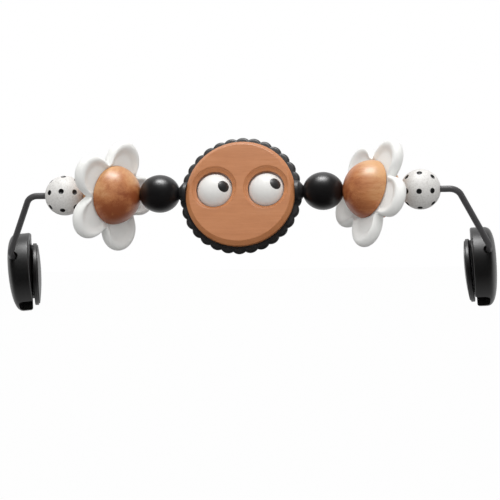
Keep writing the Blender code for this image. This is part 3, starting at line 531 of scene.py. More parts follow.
def soften(corners, rounds, steps, closed=False):
    """An outline with each corner rounded by its own radius; 0 keeps a corner."""
    points = []
    for k, (corner, radius) in enumerate(zip(corners, rounds)):
        here = Vector(corner)
        if radius == 0.0 or (not closed and k in (0, len(corners) - 1)):
            points.append(tuple(here))
            continue
        back = (Vector(corners[k - 1]) - here).normalized()
        ahead = (Vector(corners[(k + 1) % len(corners)]) - here).normalized()
        half = back.angle(ahead) / 2.0
        centre = here + (back + ahead).normalized() * radius / math.sin(half)
        start = here + back * radius / math.tan(half) - centre
        sweep = (math.pi - 2.0 * half) * math.copysign(1.0, back.y * ahead.x - back.x * ahead.y)
        for step in range(steps + 1):
            a = sweep * step / steps
            spun = Vector((
                start.x * math.cos(a) - start.y * math.sin(a),
                start.x * math.sin(a) + start.y * math.cos(a),
            ))
            points.append(tuple(centre + spun))
    return points


def arc(centre, radius, start, end, steps):
    """Points along part of a circle."""
    angles = [start + (end - start) * step / steps for step in range(steps + 1)]
    return [(centre[0] + radius * math.cos(a), centre[1] + radius * math.sin(a)) for a in angles]


def extruded(rim, push):
    """Push a flat rim of points along a vector."""
    bm = bmesh.new()
    near = [bm.verts.new(point) for point in rim]
    far = [bm.verts.new(Vector(point) + Vector(push)) for point in rim]
    bm.faces.new(near)
    bm.faces.new(far)
    bridge(bm, near, far)
    return bm


def swept(points, radius, sides):
    """A round bar along a run of points, with closed ends."""
    bm = bmesh.new()
    across = (points[1] - points[0]).orthogonal().normalized()
    rings = []
    for k, point in enumerate(points):
        before, after = points[max(k - 1, 0)], points[min(k + 1, len(points) - 1)]
        along = (after - before).normalized()
        across = (across - along * across.dot(along)).normalized()
        aside = along.cross(across)
        turns = [FULL_TURN * step / sides for step in range(sides)]
        rings.append([
            bm.verts.new(point + (across * math.cos(a) + aside * math.sin(a)) * radius) for a in turns
        ])
    for here, there in zip(rings, rings[1:]):
        bridge(bm, here, there)
    bm.faces.new(rings[0])
    bm.faces.new(rings[-1])
    return bm


def shape(name, bm, matrix=None, bend=None, material=None):
    """An object from a bmesh, first bent by a function of its points if given, then moved."""
    bmesh.ops.remove_doubles(bm, verts=bm.verts, dist=WELD_DISTANCE)
    if bend:
        for vert in bm.verts:
            vert.co = bend(vert.co)
    if matrix is not None:
        bmesh.ops.transform(bm, matrix=matrix, verts=bm.verts)
    bmesh.ops.recalc_face_normals(bm, faces=bm.faces)
    mesh = bpy.data.meshes.new(name)
    bm.to_mesh(mesh)
    bm.free()
    made = bpy.data.objects.new(name, mesh)
    bpy.context.scene.collection.objects.link(made)
    if material:
        mesh.materials.append(material)
    return made


def combine(target, tool, operation="DIFFERENCE"):
    """Carry out one exact Boolean on target, then remove the tool."""
    modifier = target.modifiers.new(operation.lower(), "BOOLEAN")
    modifier.operation = operation
    modifier.solver = "EXACT"
    modifier.material_mode = "TRANSFER"
    modifier.object = tool
    bpy.context.view_layer.update()
    depsgraph = bpy.context.evaluated_depsgraph_get()
    result = bpy.data.meshes.new_from_object(target.evaluated_get(depsgraph))
    target.modifiers.clear()
    target.data = result
    bpy.data.objects.remove(tool)
    return target


def fitted(made, node, body, crease=CREASE_ANGLE):
    """Hand a finished piece to its body in place of its CAD node."""
    made.name = node + "_piece"
    made.data.shade_smooth()
    made.data.set_sharp_from_angle(angle=crease)
    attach(made, body)
    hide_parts(node)
    return made


def mirror_matrix(side):
    return Matrix.Scale(side, 4, AXIS_X)


def clip_turn(side):
    level = Matrix.Rotation(CLIP_TURN, 4, "Z") @ Matrix.Rotation(CLIP_LEAN[side], 4, "Y")
    return level @ Matrix.Rotation(-END_SLOPE, 4, "X")


def lower_corner(side):
    """The bend at the foot of a leg, found from the clip's swivel joint."""
    return joint_places[LABELS[side] + "_clip_swivel"] - clip_turn(side) @ AXIS_Y * SWIVEL_ALONG_END


def rounded_path(corners, radii, steps):
    """A run of points with each inner corner carried round by its own radius."""
    points = [corners[0]]
    for before, corner, after, radius in zip(corners, corners[1:], corners[2:], radii):
        into = (corner - before).normalized()
        out = (after - corner).normalized()
        turn = into.angle(out)
        start = corner - into * radius * math.tan(turn / 2.0)
        sideways = (out - into * into.dot(out)).normalized()
        for step in range(steps + 1):
            a = turn * step / steps
            points.append(start + into * radius * math.sin(a) + sideways * radius * (1.0 - math.cos(a)))
    return points + [corners[-1]]


def support_rod(material):
    corners = []
    for side in (LEFT, RIGHT):
        lower = lower_corner(side)
        upper = lower - Vector((side * LEG_SPLAY_SHARE, LEG_BACK_SHARE, -1.0)) * LEG_DROP
        tip = lower + clip_turn(side) @ AXIS_Y * (END_BARE + END_IN_CLIP)
        corners += [tip, lower, upper] if side == LEFT else [upper, lower, tip]
    radii = (END_BEND_RADIUS, BEND_RADIUS, BEND_RADIUS, END_BEND_RADIUS)
    bar = swept(rounded_path(corners, radii, BEND_STEPS), ROD_RADIUS, ROD_SIDES)
    rod = shape("rod", bar, material=material)
    fitted(rod, "support_rod", "bar")


def dome(edge, rise, radius, steps):
    """Shallow crown from a rim at edge to a pole on the axis."""
    shares = [1.0 - step / steps for step in range(steps + 1)]
    return [(edge + rise * (1.0 - share**2), radius * share) for share in shares]


def bead_outline(half_length, long_radius, round_radius, end_radius, steps):
    """Half an ellipse cut square at its ends, with softened edges at the bore."""
    start = math.asin(end_radius / round_radius)
    angles = [start + (math.pi - 2.0 * start) * step / steps for step in range(steps + 1)]
    crown = [(-long_radius * math.cos(a), round_radius * math.sin(a)) for a in angles]
    bore = ROD_RADIUS + RUNNING_GAP
    corners = crown + [(half_length, bore), (-half_length, bore)]
    rounds = [BEAD_EDGE] + [0.0] * (steps - 1) + [BEAD_EDGE] + [BEAD_EDGE / 2.0] * 2
    return soften(corners, rounds, EDGE_STEPS, closed=True)


def node_span(node):
    """Middle and half length along X of a CAD node."""
    low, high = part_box(node)
    return (low + high) / 2.0, (high.x - low.x) / 2.0


def long_radius(half_length, round_radius, end_radius):
    """Half axis of the ellipse that passes through the ends of a bead of this length."""
    return half_length / math.sqrt(1.0 - (end_radius / round_radius) ** 2)


def bead_shape(node, kind, round_radius, mesh, material):
    """A turned bead on the rod, as long as its CAD node."""
    middle, half = node_span(node)
    sides, steps = mesh
    end = BEAD_ENDS[kind]
    outline = bead_outline(half, long_radius(half, round_radius, end), round_radius, end, steps)
    place = Matrix.Translation((middle.x, ROD_ORIGIN.y, ROD_ORIGIN.z))
    return shape(node, lathe(outline, sides, closed=True), place, material=material), place


def black_bead(side, material):
    body = LABELS[side] + "_black_bead"
    made, _ = bead_shape(body, "black_bead", BLACK_BEAD_ROUND, BLACK_BEAD_MESH, material)
    fitted(made, body, body)


def dot_directions(side):
    """Middles of the sunk dots: three rows round the bead."""
    for latitude in DOT_LATITUDES:
        for k in range(DOTS_ROUND):
            turn = DOT_ROLL[side] + FULL_TURN * k / DOTS_ROUND
            ring = math.cos(latitude)
            yield Vector((math.sin(latitude), -ring * math.cos(turn), ring * math.sin(turn)))


def dot_cutter(side, place, material):
    """The balls that sink all the dots into one bead."""
    reach = math.sqrt(DOTTED_BEAD_ROUND**2 - DOT_RADIUS**2)
    centre = reach + math.sqrt(DOT_CUTTER_RADIUS**2 - DOT_RADIUS**2)
    ball = [(centre - DOT_CUTTER_RADIUS, 0.0)]
    ball += arc((centre, 0.0), DOT_CUTTER_RADIUS, math.pi, 0.0, DOT_STEPS)[1:-1]
    ball += [(centre + DOT_CUTTER_RADIUS, 0.0)]
    balls = bmesh.new()
    for direction in dot_directions(side):
        one = lathe(ball, DOT_SIDES)
        aim = AXIS_X.rotation_difference(direction).to_matrix().to_4x4()
        bmesh.ops.transform(one, matrix=aim, verts=one.verts)
        mesh = bpy.data.meshes.new("one_dot")
        one.to_mesh(mesh)
        one.free()
        balls.from_mesh(mesh)
    return shape("dots", balls, place, material=material)


def dotted_bead(side, material, dot_material):
    body = LABELS[side] + "_dotted_bead"
    made, place = bead_shape(body, "dotted_bead", DOTTED_BEAD_ROUND, DOTTED_BEAD_MESH, material)
    combine(made, dot_cutter(side, place, dot_material))
    fitted(made, body, body)


def disc_place():
    return ON_ROD @ Matrix.Rotation(-DISC_PITCH, 4, "X")


def disc_half_outline(front):
    face = front * DISC_HALF_THICKNESS
    rebate = front * (RING_HALF_THICKNESS + SEAT_GAP)
    mating = front * SEAT_GAP / 2.0
    spigot = RING_BORE_RADIUS - SEAT_GAP
    edge = face - front * DISC_CHAMFER_DEPTH
    corners = [
        (face, 0.0), (face, DISC_RADIUS - DISC_CHAMFER_WIDTH), (edge, DISC_RADIUS), (rebate, DISC_RADIUS),
        (rebate, spigot), (mating, spigot), (mating, 0.0),
    ]
    rounds = [0.0, DISC_CHAMFER_ROUND, DISC_CHAMFER_ROUND, DISC_SEAM_ROUND, 0.0, DISC_SEAM_ROUND, 0.0]
    return soften(corners, rounds, DISC_EDGE_STEPS)


def eye_hole_cutter(front, side):
    """A bored hole whose mouth is coved, steep at the face and flatter towards the eye.

    It is spun a little on its axis, as the cavity is, so that no edges of the two coincide.
    """
    hole = EYE_RADIUS - EYE_HOLE_LIP
    mouth = hole + EYE_BEVEL_WIDTH
    face = DISC_HALF_THICKNESS
    cove = []
    for step in range(COVE_STEPS + 1):
        a = EYE_BEVEL_SWEEP * step / COVE_STEPS
        down = math.sin(a) / math.sin(EYE_BEVEL_SWEEP)
        inward = (1.0 - math.cos(a)) / (1.0 - math.cos(EYE_BEVEL_SWEEP))
        cove.append((face - EYE_BEVEL_DEPTH * down, mouth - EYE_BEVEL_WIDTH * inward))
    outline = [(face + CUT_OVERRUN, 0.0), (face + CUT_OVERRUN, mouth + EYE_BEVEL_ROUND)]
    outline += [(face, mouth + EYE_BEVEL_ROUND)] + cove[1:]
    outline += [(-CUT_OVERRUN, hole), (-CUT_OVERRUN, 0.0)]
    outline = [(front * along, radius) for along, radius in outline]
    place = disc_place() @ Matrix.Translation((side * EYE_SPACING / 2.0, 0.0, EYE_HOLE_RAISE))
    spin = Matrix.Rotation(EYE_HOLE_SPIN, 4, "Y")
    return shape("eye_hole", lathe(outline, EYE_HOLE_SIDES), place @ spin @ ABOUT_Y)


def eye_cavity_cutter(side):
    """The room that the eye rolls in: round as the ball, and cut short at its two ends."""
    reach = EYE_RADIUS + EYE_CAVITY_GAP
    end = math.sqrt(EYE_RADIUS**2 - BEAD_ENDS["eyeball"] ** 2) + EYE_END_GAP
    start = math.acos(end / reach)
    room = [(-end, 0.0)] + arc((0.0, 0.0), reach, math.pi - start, start, EYE_CAVITY_STEPS) + [(end, 0.0)]
    place = disc_place() @ Matrix.Translation((side * EYE_SPACING / 2.0, 0.0, 0.0))
    spin = Matrix.Rotation(EYE_CAVITY_SPIN, 4, "X")
    return shape("eye_cavity", lathe(room, EYE_CAVITY_SIDES), place @ spin)


def rod_bore_cutter(place, half_length):
    bore = ROD_RADIUS + RUNNING_GAP
    outline = [(-half_length, 0.0), (-half_length, bore), (half_length, bore), (half_length, 0.0)]
    return shape("rod_bore", lathe(outline, BORE_SIDES), place)


def disc_half(node, front, material):
    drop = Matrix.Translation((0.0, 0.0, -DISC_BELOW_ROD))
    turned = lathe(disc_half_outline(front), DISC_SIDES)
    half = shape(node, turned, disc_place() @ drop @ ABOUT_Y, material=material)
    combine(half, rod_bore_cutter(disc_place(), DISC_RADIUS + CUT_OVERRUN))
    for side in (LEFT, RIGHT):
        combine(half, combine(eye_hole_cutter(front, side), eye_cavity_cutter(side), "UNION"))
    fitted(half, node, "disc")


def scallop_reach(angle):
    """Radius of the scalloped rim at an angle."""
    pitch = FULL_TURN / SCALLOPS
    off_tip = (angle + pitch / 2.0) % pitch - pitch / 2.0
    centre = RING_TIP_RADIUS - SCALLOP_RADIUS
    return centre * math.cos(off_tip) + math.sqrt(SCALLOP_RADIUS**2 - (centre * math.sin(off_tip)) ** 2)


def ring_section(reach):
    shoulder = reach - RING_EDGE_ROUND
    section = [(RING_BORE_RADIUS, -RING_HALF_THICKNESS)]
    for step in range(RIM_STEPS + 1):
        turn = -math.pi / 2.0 + math.pi * step / RIM_STEPS
        section.append((
            shoulder + RING_EDGE_ROUND * math.cos(turn), RING_HALF_THICKNESS * math.sin(turn),
        ))
    return section + [(RING_BORE_RADIUS, RING_HALF_THICKNESS)]


def ring_body(material):
    bm = bmesh.new()
    count = SCALLOPS * SCALLOP_STEPS
    rings = []
    for step in range(count):
        angle = FULL_TURN * step / count
        section = ring_section(scallop_reach(angle))
        rings.append([
            bm.verts.new((r * math.sin(angle), y, r * math.cos(angle) - DISC_BELOW_ROD)) for r, y in section
        ])
    for here, there in zip(rings, rings[1:] + rings[:1]):
        bridge(bm, here, there)
    return shape("ring", bm, disc_place(), material=material)


def ring_collar(side):
    """A coned collar round the rod, hollowed to sit over the disc's rim."""
    end = DISC_RADIUS + COLLAR_REACH
    root = RING_BORE_RADIUS + SEAT_GAP
    corners = [
        (root, 0.0), (root, COLLAR_RADIUS), (end - COLLAR_NOSE_LENGTH, COLLAR_RADIUS),
        (end, COLLAR_NOSE_RADIUS), (end, 0.0),
    ]
    outline = soften(corners, [0.0, 0.0, COLLAR_ROUND, COLLAR_ROUND, 0.0], COLLAR_EDGE_STEPS)
    collar = shape("collar", lathe(outline, COLLAR_SIDES), disc_place() @ mirror_matrix(side))
    half = DISC_HALF_THICKNESS + CUT_OVERRUN
    clearance = DISC_RADIUS + SEAT_GAP
    rim = lathe([(-half, 0.0), (-half, clearance), (half, clearance), (half, 0.0)], DISC_SIDES)
    drop = Matrix.Translation((0.0, 0.0, -DISC_BELOW_ROD))
    return combine(collar, shape("rim", rim, disc_place() @ drop @ ABOUT_Y))


def scalloped_ring(material):
    ring = ring_body(material)
    for side in (LEFT, RIGHT):
        combine(ring, ring_collar(side), "UNION")
    combine(ring, rod_bore_cutter(disc_place(), DISC_RADIUS + COLLAR_REACH + CUT_OVERRUN))
    fitted(ring, "scalloped_ring", "disc", RING_CREASE_ANGLE)


def eye(side, white, gloss):
    label = LABELS[side]
    node = label + "_eyeball"
    half = math.sqrt(EYE_RADIUS**2 - BEAD_ENDS["eyeball"] ** 2)
    outline = bead_outline(half, EYE_RADIUS, EYE_RADIUS, BEAD_ENDS["eyeball"], EYE_STEPS)
    hub = Matrix.Translation(joint_places[label + "_eye_roll"]) @ Matrix.Rotation(-EYE_PITCH[side], 4, "X")
    ball = shape(node, lathe(outline, EYE_SIDES, closed=True), hub, material=white)
    direction = Vector((math.sin(PUPIL_LATITUDE), -math.cos(PUPIL_LATITUDE), 0.0))
    facing = hub @ AXIS_X.rotation_difference(direction).to_matrix().to_4x4()
    floor = EYE_RADIUS - PUPIL_DEPTH
    top = EYE_RADIUS + CUT_OVERRUN
    pocket = [(floor, 0.0), (floor, PUPIL_RADIUS), (top, PUPIL_RADIUS), (top, 0.0)]
    combine(ball, shape("pocket", lathe(pocket, PUPIL_SIDES), facing))
    fitted(ball, node, label + "_eye")
    radius = PUPIL_RADIUS - SEAT_GAP
    edge = math.sqrt(EYE_RADIUS**2 - radius**2)
    low = floor + SEAT_GAP
    crown = dome(edge, EYE_RADIUS + PUPIL_CROWN - edge, radius, PUPIL_STEPS)
    plug = soften([(low, 0.0), (low, radius)] + crown, [0.0, 0.0, SEAT_GAP] + [0.0] * PUPIL_STEPS, EDGE_STEPS)
    pupil = shape(label + "_pupil", lathe(plug, PUPIL_SIDES), facing, material=gloss)
    fitted(pupil, label + "_pupil", label + "_eye")


def flower_place(side):
    hub = joint_places[LABELS[side] + "_flower_spin"]
    return Matrix.Translation(hub) @ Matrix.Rotation(FLOWER_ROLL[side], 4, "X")


def plate_frame(side):
    """Axes of a petal plate: in its plane towards the disc, in its plane upwards, and its normal."""
    tilt = PLATE_TILT[side]
    along = Vector((-side * math.sin(tilt), math.cos(tilt), 0.0))
    normal = Vector((-side * math.cos(tilt), -math.sin(tilt), 0.0))
    return Matrix((along, AXIS_Z, normal)).transposed().to_4x4()


def off_petal(angle):
    """Angle away from the nearest petal's middle."""
    pitch = FULL_TURN / PETALS
    return abs((angle + pitch / 2.0) % pitch - pitch / 2.0)


def petal_edge(angle):
    """Reach of the plate's outline: round tips, straight flanks, and a filled notch between petals."""
    off = off_petal(angle)
    middle = PETAL_TIP_RADIUS - PETAL_HALF_WIDTH
    if off < math.atan(PETAL_HALF_WIDTH / middle):
        return middle * math.cos(off) + math.sqrt(PETAL_HALF_WIDTH**2 - (middle * math.sin(off)) ** 2)
    return max(PETAL_HALF_WIDTH / math.sin(off), PETAL_NOTCH_RADIUS)


def petal_inset(angle, radius):
    """How far inside the outline a point of the plate lies."""
    off = off_petal(angle)
    along, aside = radius * math.cos(off), radius * math.sin(off)
    past = max(along - PETAL_TIP_RADIUS + PETAL_HALF_WIDTH, 0.0)
    return max(PETAL_HALF_WIDTH - math.hypot(past, aside), petal_edge(angle) - radius)


def petal_height(angle, radius):
    """Half thickness: a round edge outside, down to the seat that the ball clamps."""
    inward = min(petal_inset(angle, radius) / PETAL_EDGE_ROUND, 1.0)
    height = PETAL_HALF_THICKNESS * math.sqrt(1.0 - (1.0 - inward) ** 2)
    return min(height, SEAT_HALF_THICKNESS + max(radius - SEAT_RADIUS, 0.0))


def petal_front(angle, radius):
    """The same on the side that faces the disc, where each petal is dished."""
    share = min(max((petal_inset(angle, radius) - PETAL_EDGE_ROUND) / PETAL_DISH_RUN, 0.0), 1.0)
    hollow = PETAL_DISH * (0.5 - 0.5 * math.cos(math.pi * share))
    return min(petal_height(angle, radius), PETAL_HALF_THICKNESS - hollow)


def petal_plate(side, material):
    bm = bmesh.new()
    count = PETALS * PETAL_SPOKES
    front_middle = bm.verts.new((0.0, 0.0, SEAT_HALF_THICKNESS))
    back_middle = bm.verts.new((0.0, 0.0, -SEAT_HALF_THICKNESS))
    shares = [math.sin(math.pi / 2.0 * k / PETAL_STEPS) for k in range(PETAL_STEPS)]
    columns = []
    for step in range(count):
        angle = FULL_TURN * step / count
        edge = petal_edge(angle)
        spoke = Vector((math.cos(angle + PETAL_PHASE), math.sin(angle + PETAL_PHASE), 0.0))
        reaches = [SEAT_RADIUS + (edge - SEAT_RADIUS) * share for share in shares]
        front = [spoke * r + AXIS_Z * petal_front(angle, r) for r in reaches]
        back = [spoke * r - AXIS_Z * petal_height(angle, r) for r in reaches]
        columns.append([bm.verts.new(point) for point in front + [spoke * edge] + back[::-1]])
    for here, there in zip(columns, columns[1:] + columns[:1]):
        bm.faces.new((front_middle, here[0], there[0]))
        bm.faces.new((back_middle, there[-1], here[-1]))
        for a in range(len(here) - 1):
            bm.faces.new((here[a], here[a + 1], there[a + 1], there[a]))
    label = LABELS[side]
    drop = Matrix.Translation((0.0, 0.0, -PLATE_BELOW_ROD))
    place = flower_place(side)
    plate = shape("plate", bm, place @ drop @ plate_frame(side), material=material)
    combine(plate, rod_bore_cutter(place, BALL_LONG))
    fitted(plate, label + "_petal_plate", label + "_flower", PETAL_CREASE_ANGLE)


def slant_cutter(side, facing):
    """A block that takes away everything on the far side of the plate's seat."""
    reach = BALL_ROUND + BALL_LONG
    seat = SEAT_HALF_THICKNESS + SEAT_GAP
    low, high = (seat - 2.0 * reach, seat) if facing > 0 else (-seat, 2.0 * reach - seat)
    rim = [(-reach, -reach, low), (reach, -reach, low), (reach, reach, low), (-reach, reach, low)]
    return shape("slant", extruded(rim, (0.0, 0.0, high - low)), flower_place(side) @ plate_frame(side))


def ease_rim(made, side, facing):
    """Round the edge where the turned ball meets its slanted cut."""
    bm = bmesh.new()
    bm.from_mesh(made.data)
    flat = (flower_place(side) @ plate_frame(side)).inverted()
    seat = facing * (SEAT_HALF_THICKNESS + SEAT_GAP)
    rim = []
    for edge in bm.edges:
        ends = [flat @ vert.co for vert in edge.verts]
        level = all(abs(end.z - seat) < ON_CUT for end in ends)
        outside = all(math.hypot(end.x, end.y) > BALL_ROUND / 2.0 for end in ends)
        if level and outside and edge.calc_face_angle(0.0) > CREASE_ANGLE:
            rim.append(edge)
    bmesh.ops.bevel(bm, geom=rim, offset=BALL_RIM_ROUND, segments=EDGE_STEPS, profile=0.5, affect="EDGES")
    bm.to_mesh(made.data)
    bm.free()


def ball_halves(side, material):
    label = LABELS[side]
    half = BALL_LONG * math.sqrt(1.0 - (BEAD_ENDS["ball"] / BALL_ROUND) ** 2)
    outline = bead_outline(half, BALL_LONG, BALL_ROUND, BEAD_ENDS["ball"], BALL_STEPS)
    for end, facing in (("front", 1), ("rear", -1)):
        node = f"{label}_ball_{end}_half"
        made = shape(node, lathe(outline, BALL_SIDES, closed=True), flower_place(side), material=material)
        combine(made, slant_cutter(side, facing))
        ease_rim(made, side, facing)
        fitted(made, node, label + "_flower")


def clip_place(side):
    turn = clip_turn(side)
    back = turn @ AXIS_Y * (END_BARE + CLIP_RADIUS)
    inward = turn @ AXIS_X * (side * ROD_OFF_CENTRE)
    return Matrix.Translation(lower_corner(side) + back - inward) @ turn


def inner_side(point):
    """Taper the housing's inner side downwards, and slope it away behind the hinge."""
    if point.x >= 0.0:
        return point
    level = point.z * math.cos(END_SLOPE) - point.y * math.sin(END_SLOPE)
    growth = math.tan(CLIP_TAPER) * level - math.tan(CLIP_RELIEF) * max(point.y, 0.0)
    return Vector((point.x * (1.0 + growth / CLIP_HALF_WIDTH), point.y, point.z))


def housing_outline():
    """From the middle of the flat inner side, out over the small inner edge and the full outer crown."""
    inner = -CLIP_HALF_WIDTH
    corner = (inner + CLIP_INNER_ROUND, CLIP_RADIUS - CLIP_INNER_ROUND)
    rounding = arc(corner, CLIP_INNER_ROUND, math.pi, math.pi / 2.0, INNER_EDGE_STEPS)
    band = CLIP_HALF_WIDTH - CLIP_OUTER_ROUND
    crown = []
    for step in range(CROWN_STEPS + 1):
        a = math.pi / 2.0 * (1.0 - step / CROWN_STEPS)
        along = band + CLIP_OUTER_ROUND * math.cos(a) ** (2.0 / CLIP_CROWN_POWER)
        crown.append((along, CLIP_RADIUS * math.sin(a) ** (2.0 / CLIP_CROWN_POWER)))
    return [(inner, 0.0)] + rounding + crown


def hinge_x():
    return -CLIP_HALF_WIDTH + HINGE_INSET


def on_hinge(side):
    return Matrix.Translation((side * hinge_x(), 0.0, 0.0))


def notch_cutter(side, end, start):
    """Opens the housing at one end of the hinge: 1 is the upper end, -1 the lower."""
    deep = hinge_x() + NOTCH_DEPTH_PAST_PIN
    corner_x = deep - NOTCH_ROUND
    corner_y = NOTCH_HALF_WIDTH - NOTCH_ROUND
    outer = -CLIP_HALF_WIDTH - CLIP_OUTER_ROUND
    outline = [(outer, -NOTCH_HALF_WIDTH)]
    outline += arc((corner_x, -corner_y), NOTCH_ROUND, -math.pi / 2.0, 0.0, NOTCH_STEPS)
    outline += arc((corner_x, corner_y), NOTCH_ROUND, 0.0, math.pi / 2.0, NOTCH_STEPS)
    outline += [(outer, NOTCH_HALF_WIDTH)]
    rim = [(x, y, end * start) for x, y in outline]
    block = extruded(rim, (0.0, 0.0, end * CLIP_RADIUS))
    return shape("notch", block, clip_place(side) @ mirror_matrix(side))


def groove_cutter(side):
    """The slot that the jaw's web sinks into."""
    floor = -CLIP_HALF_WIDTH + GROOVE_DEPTH
    outer = -CLIP_HALF_WIDTH - CLIP_OUTER_ROUND
    half = GROOVE_HALF_WIDTH
    foot = -SPRING_SEAT - CUT_OVERRUN
    rim = [(outer, -half, foot), (outer, half, foot), (floor, half, foot), (floor, -half, foot)]
    block = extruded(rim, (0.0, 0.0, KNUCKLE_INNER - foot))
    return shape("groove", block, clip_place(side) @ mirror_matrix(side))


def hinge_bar(radius, half_length, rounding):
    corners = [(-half_length, 0.0), (-half_length, radius), (half_length, radius), (half_length, 0.0)]
    return lathe(soften(corners, [0.0, rounding, rounding, 0.0], EDGE_STEPS), PIN_SIDES)


def grip_land(side):
    """The low raised land that the bouncer's frame is pinched against."""
    low = math.asin(GRIP_START / GRIP_RADIUS)
    bend = arc((0.0, 0.0), GRIP_RADIUS, -math.pi + low, -low, GRIP_STEPS)
    rim = [(-CLIP_HALF_WIDTH - GRIP_HEIGHT, y, z) for z, y in bend]
    bm = extruded(rim, (GRIP_HEIGHT + CUT_OVERRUN, 0.0, 0.0))
    return shape("grip_land", bm, clip_place(side) @ mirror_matrix(side), inner_side)


def socket_cutter(side, outline, shift):
    aim = clip_turn(side) @ Matrix.Rotation(math.pi / 2.0, 4, "Z")
    inward = clip_turn(side) @ AXIS_X * (side * shift)
    return shape("socket", lathe(outline, BORE_SIDES), Matrix.Translation(lower_corner(side) - inward) @ aim)


def cut_socket(housing, side):
    """Bore the housing for the rod's end, with a funnelled mouth set a little inward."""
    bore = ROD_RADIUS + RUNNING_GAP
    start = END_BARE - CUT_OVERRUN
    deep = END_BARE + END_IN_CLIP + SEAT_GAP
    neck = END_BARE + SOCKET_MOUTH_DEPTH
    socket = [(start, 0.0), (start, bore), (deep, bore), (deep, 0.0)]
    combine(housing, socket_cutter(side, socket, 0.0))
    mouth = [(start, 0.0), (start, SOCKET_MOUTH_RADIUS), (END_BARE, SOCKET_MOUTH_RADIUS)]
    mouth += [(neck, bore), (neck, 0.0)]
    combine(housing, socket_cutter(side, mouth, SOCKET_MOUTH_SHIFT))


def clip_housing(side, material):
    label = LABELS[side]
    place = clip_place(side)
    turned = lathe(housing_outline(), CLIP_SIDES)
    housing = shape("housing", turned, place @ mirror_matrix(side), inner_side, material)
    combine(housing, grip_land(side), "UNION")
    combine(housing, notch_cutter(side, -1, SPRING_SEAT))
    combine(housing, notch_cutter(side, 1, KNUCKLE_INNER - SEAT_GAP))
    combine(housing, groove_cutter(side))
    bore = hinge_bar(PIN_RADIUS + PIN_PLAY, CLIP_RADIUS, 0.0)
    combine(housing, shape("pin_bore", bore, place @ on_hinge(side) @ UPRIGHT))
    cut_socket(housing, side)
    fitted(housing, label + "_clip_housing", label + "_clip")


def jaw_swing(side):
    """Takes the closed jaw, in the clip's frame, to its half open place in the row's frame."""
    to_hinge = Matrix.Translation((-hinge_x(), 0.0, 0.0))
    swing = mirror_matrix(side) @ Matrix.Rotation(-JAW_OPEN, 4, "Z") @ to_hinge
    return clip_place(side) @ on_hinge(side) @ swing


def plate_place(side):
    level = Matrix.Rotation(END_SLOPE, 4, "X")
    drop = Matrix.Translation((0.0, 0.0, -JAW_DROP))
    return jaw_swing(side) @ level @ drop @ Matrix.Rotation(-CLIP_TAPER, 4, "Y")


def jaw_face():
    return -CLIP_HALF_WIDTH - JAW_MIDDLE_GAP


def jaw_arm(side, end):
    """A barrel round the pin with a neck to the jaw's plate."""
    back = jaw_face() - JAW_THICKNESS / 2.0
    lean = math.asin(ARM_HALF_WIDTH / KNUCKLE_RADIUS)
    barrel = arc((hinge_x(), 0.0), KNUCKLE_RADIUS, -math.pi + lean, math.pi - lean, BARREL_STEPS)
    outline = barrel + [(back, ARM_HALF_WIDTH), (back, -ARM_HALF_WIDTH)]
    rim = [(x, y, end * KNUCKLE_INNER) for x, y in outline]
    return shape("arm", extruded(rim, (0.0, 0.0, end * (KNUCKLE_OUTER - KNUCKLE_INNER))), jaw_swing(side))


def jaw_web(side):
    """The rib between the two arms."""
    back = jaw_face() - JAW_THICKNESS / 2.0
    tip = -CLIP_HALF_WIDTH + WEB_DEPTH
    half = WEB_HALF_WIDTH
    foot = -KNUCKLE_INNER - SEAT_GAP
    rim = [(back, -half, foot), (back, half, foot), (tip, half, foot), (tip, -half, foot)]
    return shape("web", extruded(rim, (0.0, 0.0, -foot - foot)), jaw_swing(side))


def clip_jaw(side, material):
    label = LABELS[side]
    face, back = jaw_face(), jaw_face() - JAW_THICKNESS
    corners = [(face, 0.0), (face, JAW_RADIUS), (back, JAW_RADIUS), (back, 0.0)]
    outline = soften(corners, [0.0, JAW_EDGE_ROUND, JAW_EDGE_ROUND, 0.0], JAW_EDGE_STEPS)
    jaw = shape("jaw", lathe(outline, JAW_SIDES), plate_place(side), material=material)
    for end in (-1, 1):
        combine(jaw, jaw_arm(side, end), "UNION")
    combine(jaw, jaw_web(side), "UNION")
    bore = hinge_bar(PIN_RADIUS + PIN_PLAY, CLIP_RADIUS, 0.0)
    combine(jaw, shape("jaw_bore", bore, clip_place(side) @ on_hinge(side) @ UPRIGHT))
    fitted(jaw, label + "_clip_jaw", label + "_jaw")


def jaw_cover(side, material):
    label = LABELS[side]
    back = jaw_face() - JAW_THICKNESS - SEAT_GAP
    crown = dome(back - COVER_EDGE, -COVER_CROWN, COVER_RADIUS, COVER_STEPS)
    corners = [(back, 0.0), (back, COVER_RADIUS)] + crown
    outline = soften(corners, [0.0, 0.0, SEAT_GAP] + [0.0] * COVER_STEPS, EDGE_STEPS)
    cover = shape("cover", lathe(outline, JAW_SIDES), plate_place(side), material=material)
    fitted(cover, label + "_jaw_cover", label + "_jaw")


def hinge_pin(side, material):
    label = LABELS[side]
    bar = hinge_bar(PIN_RADIUS, PIN_HALF_LENGTH, PIN_END_ROUND)
    pin = shape("pin", bar, clip_place(side) @ on_hinge(side) @ UPRIGHT, material=material)
    fitted(pin, label + "_hinge_pin", label + "_clip")


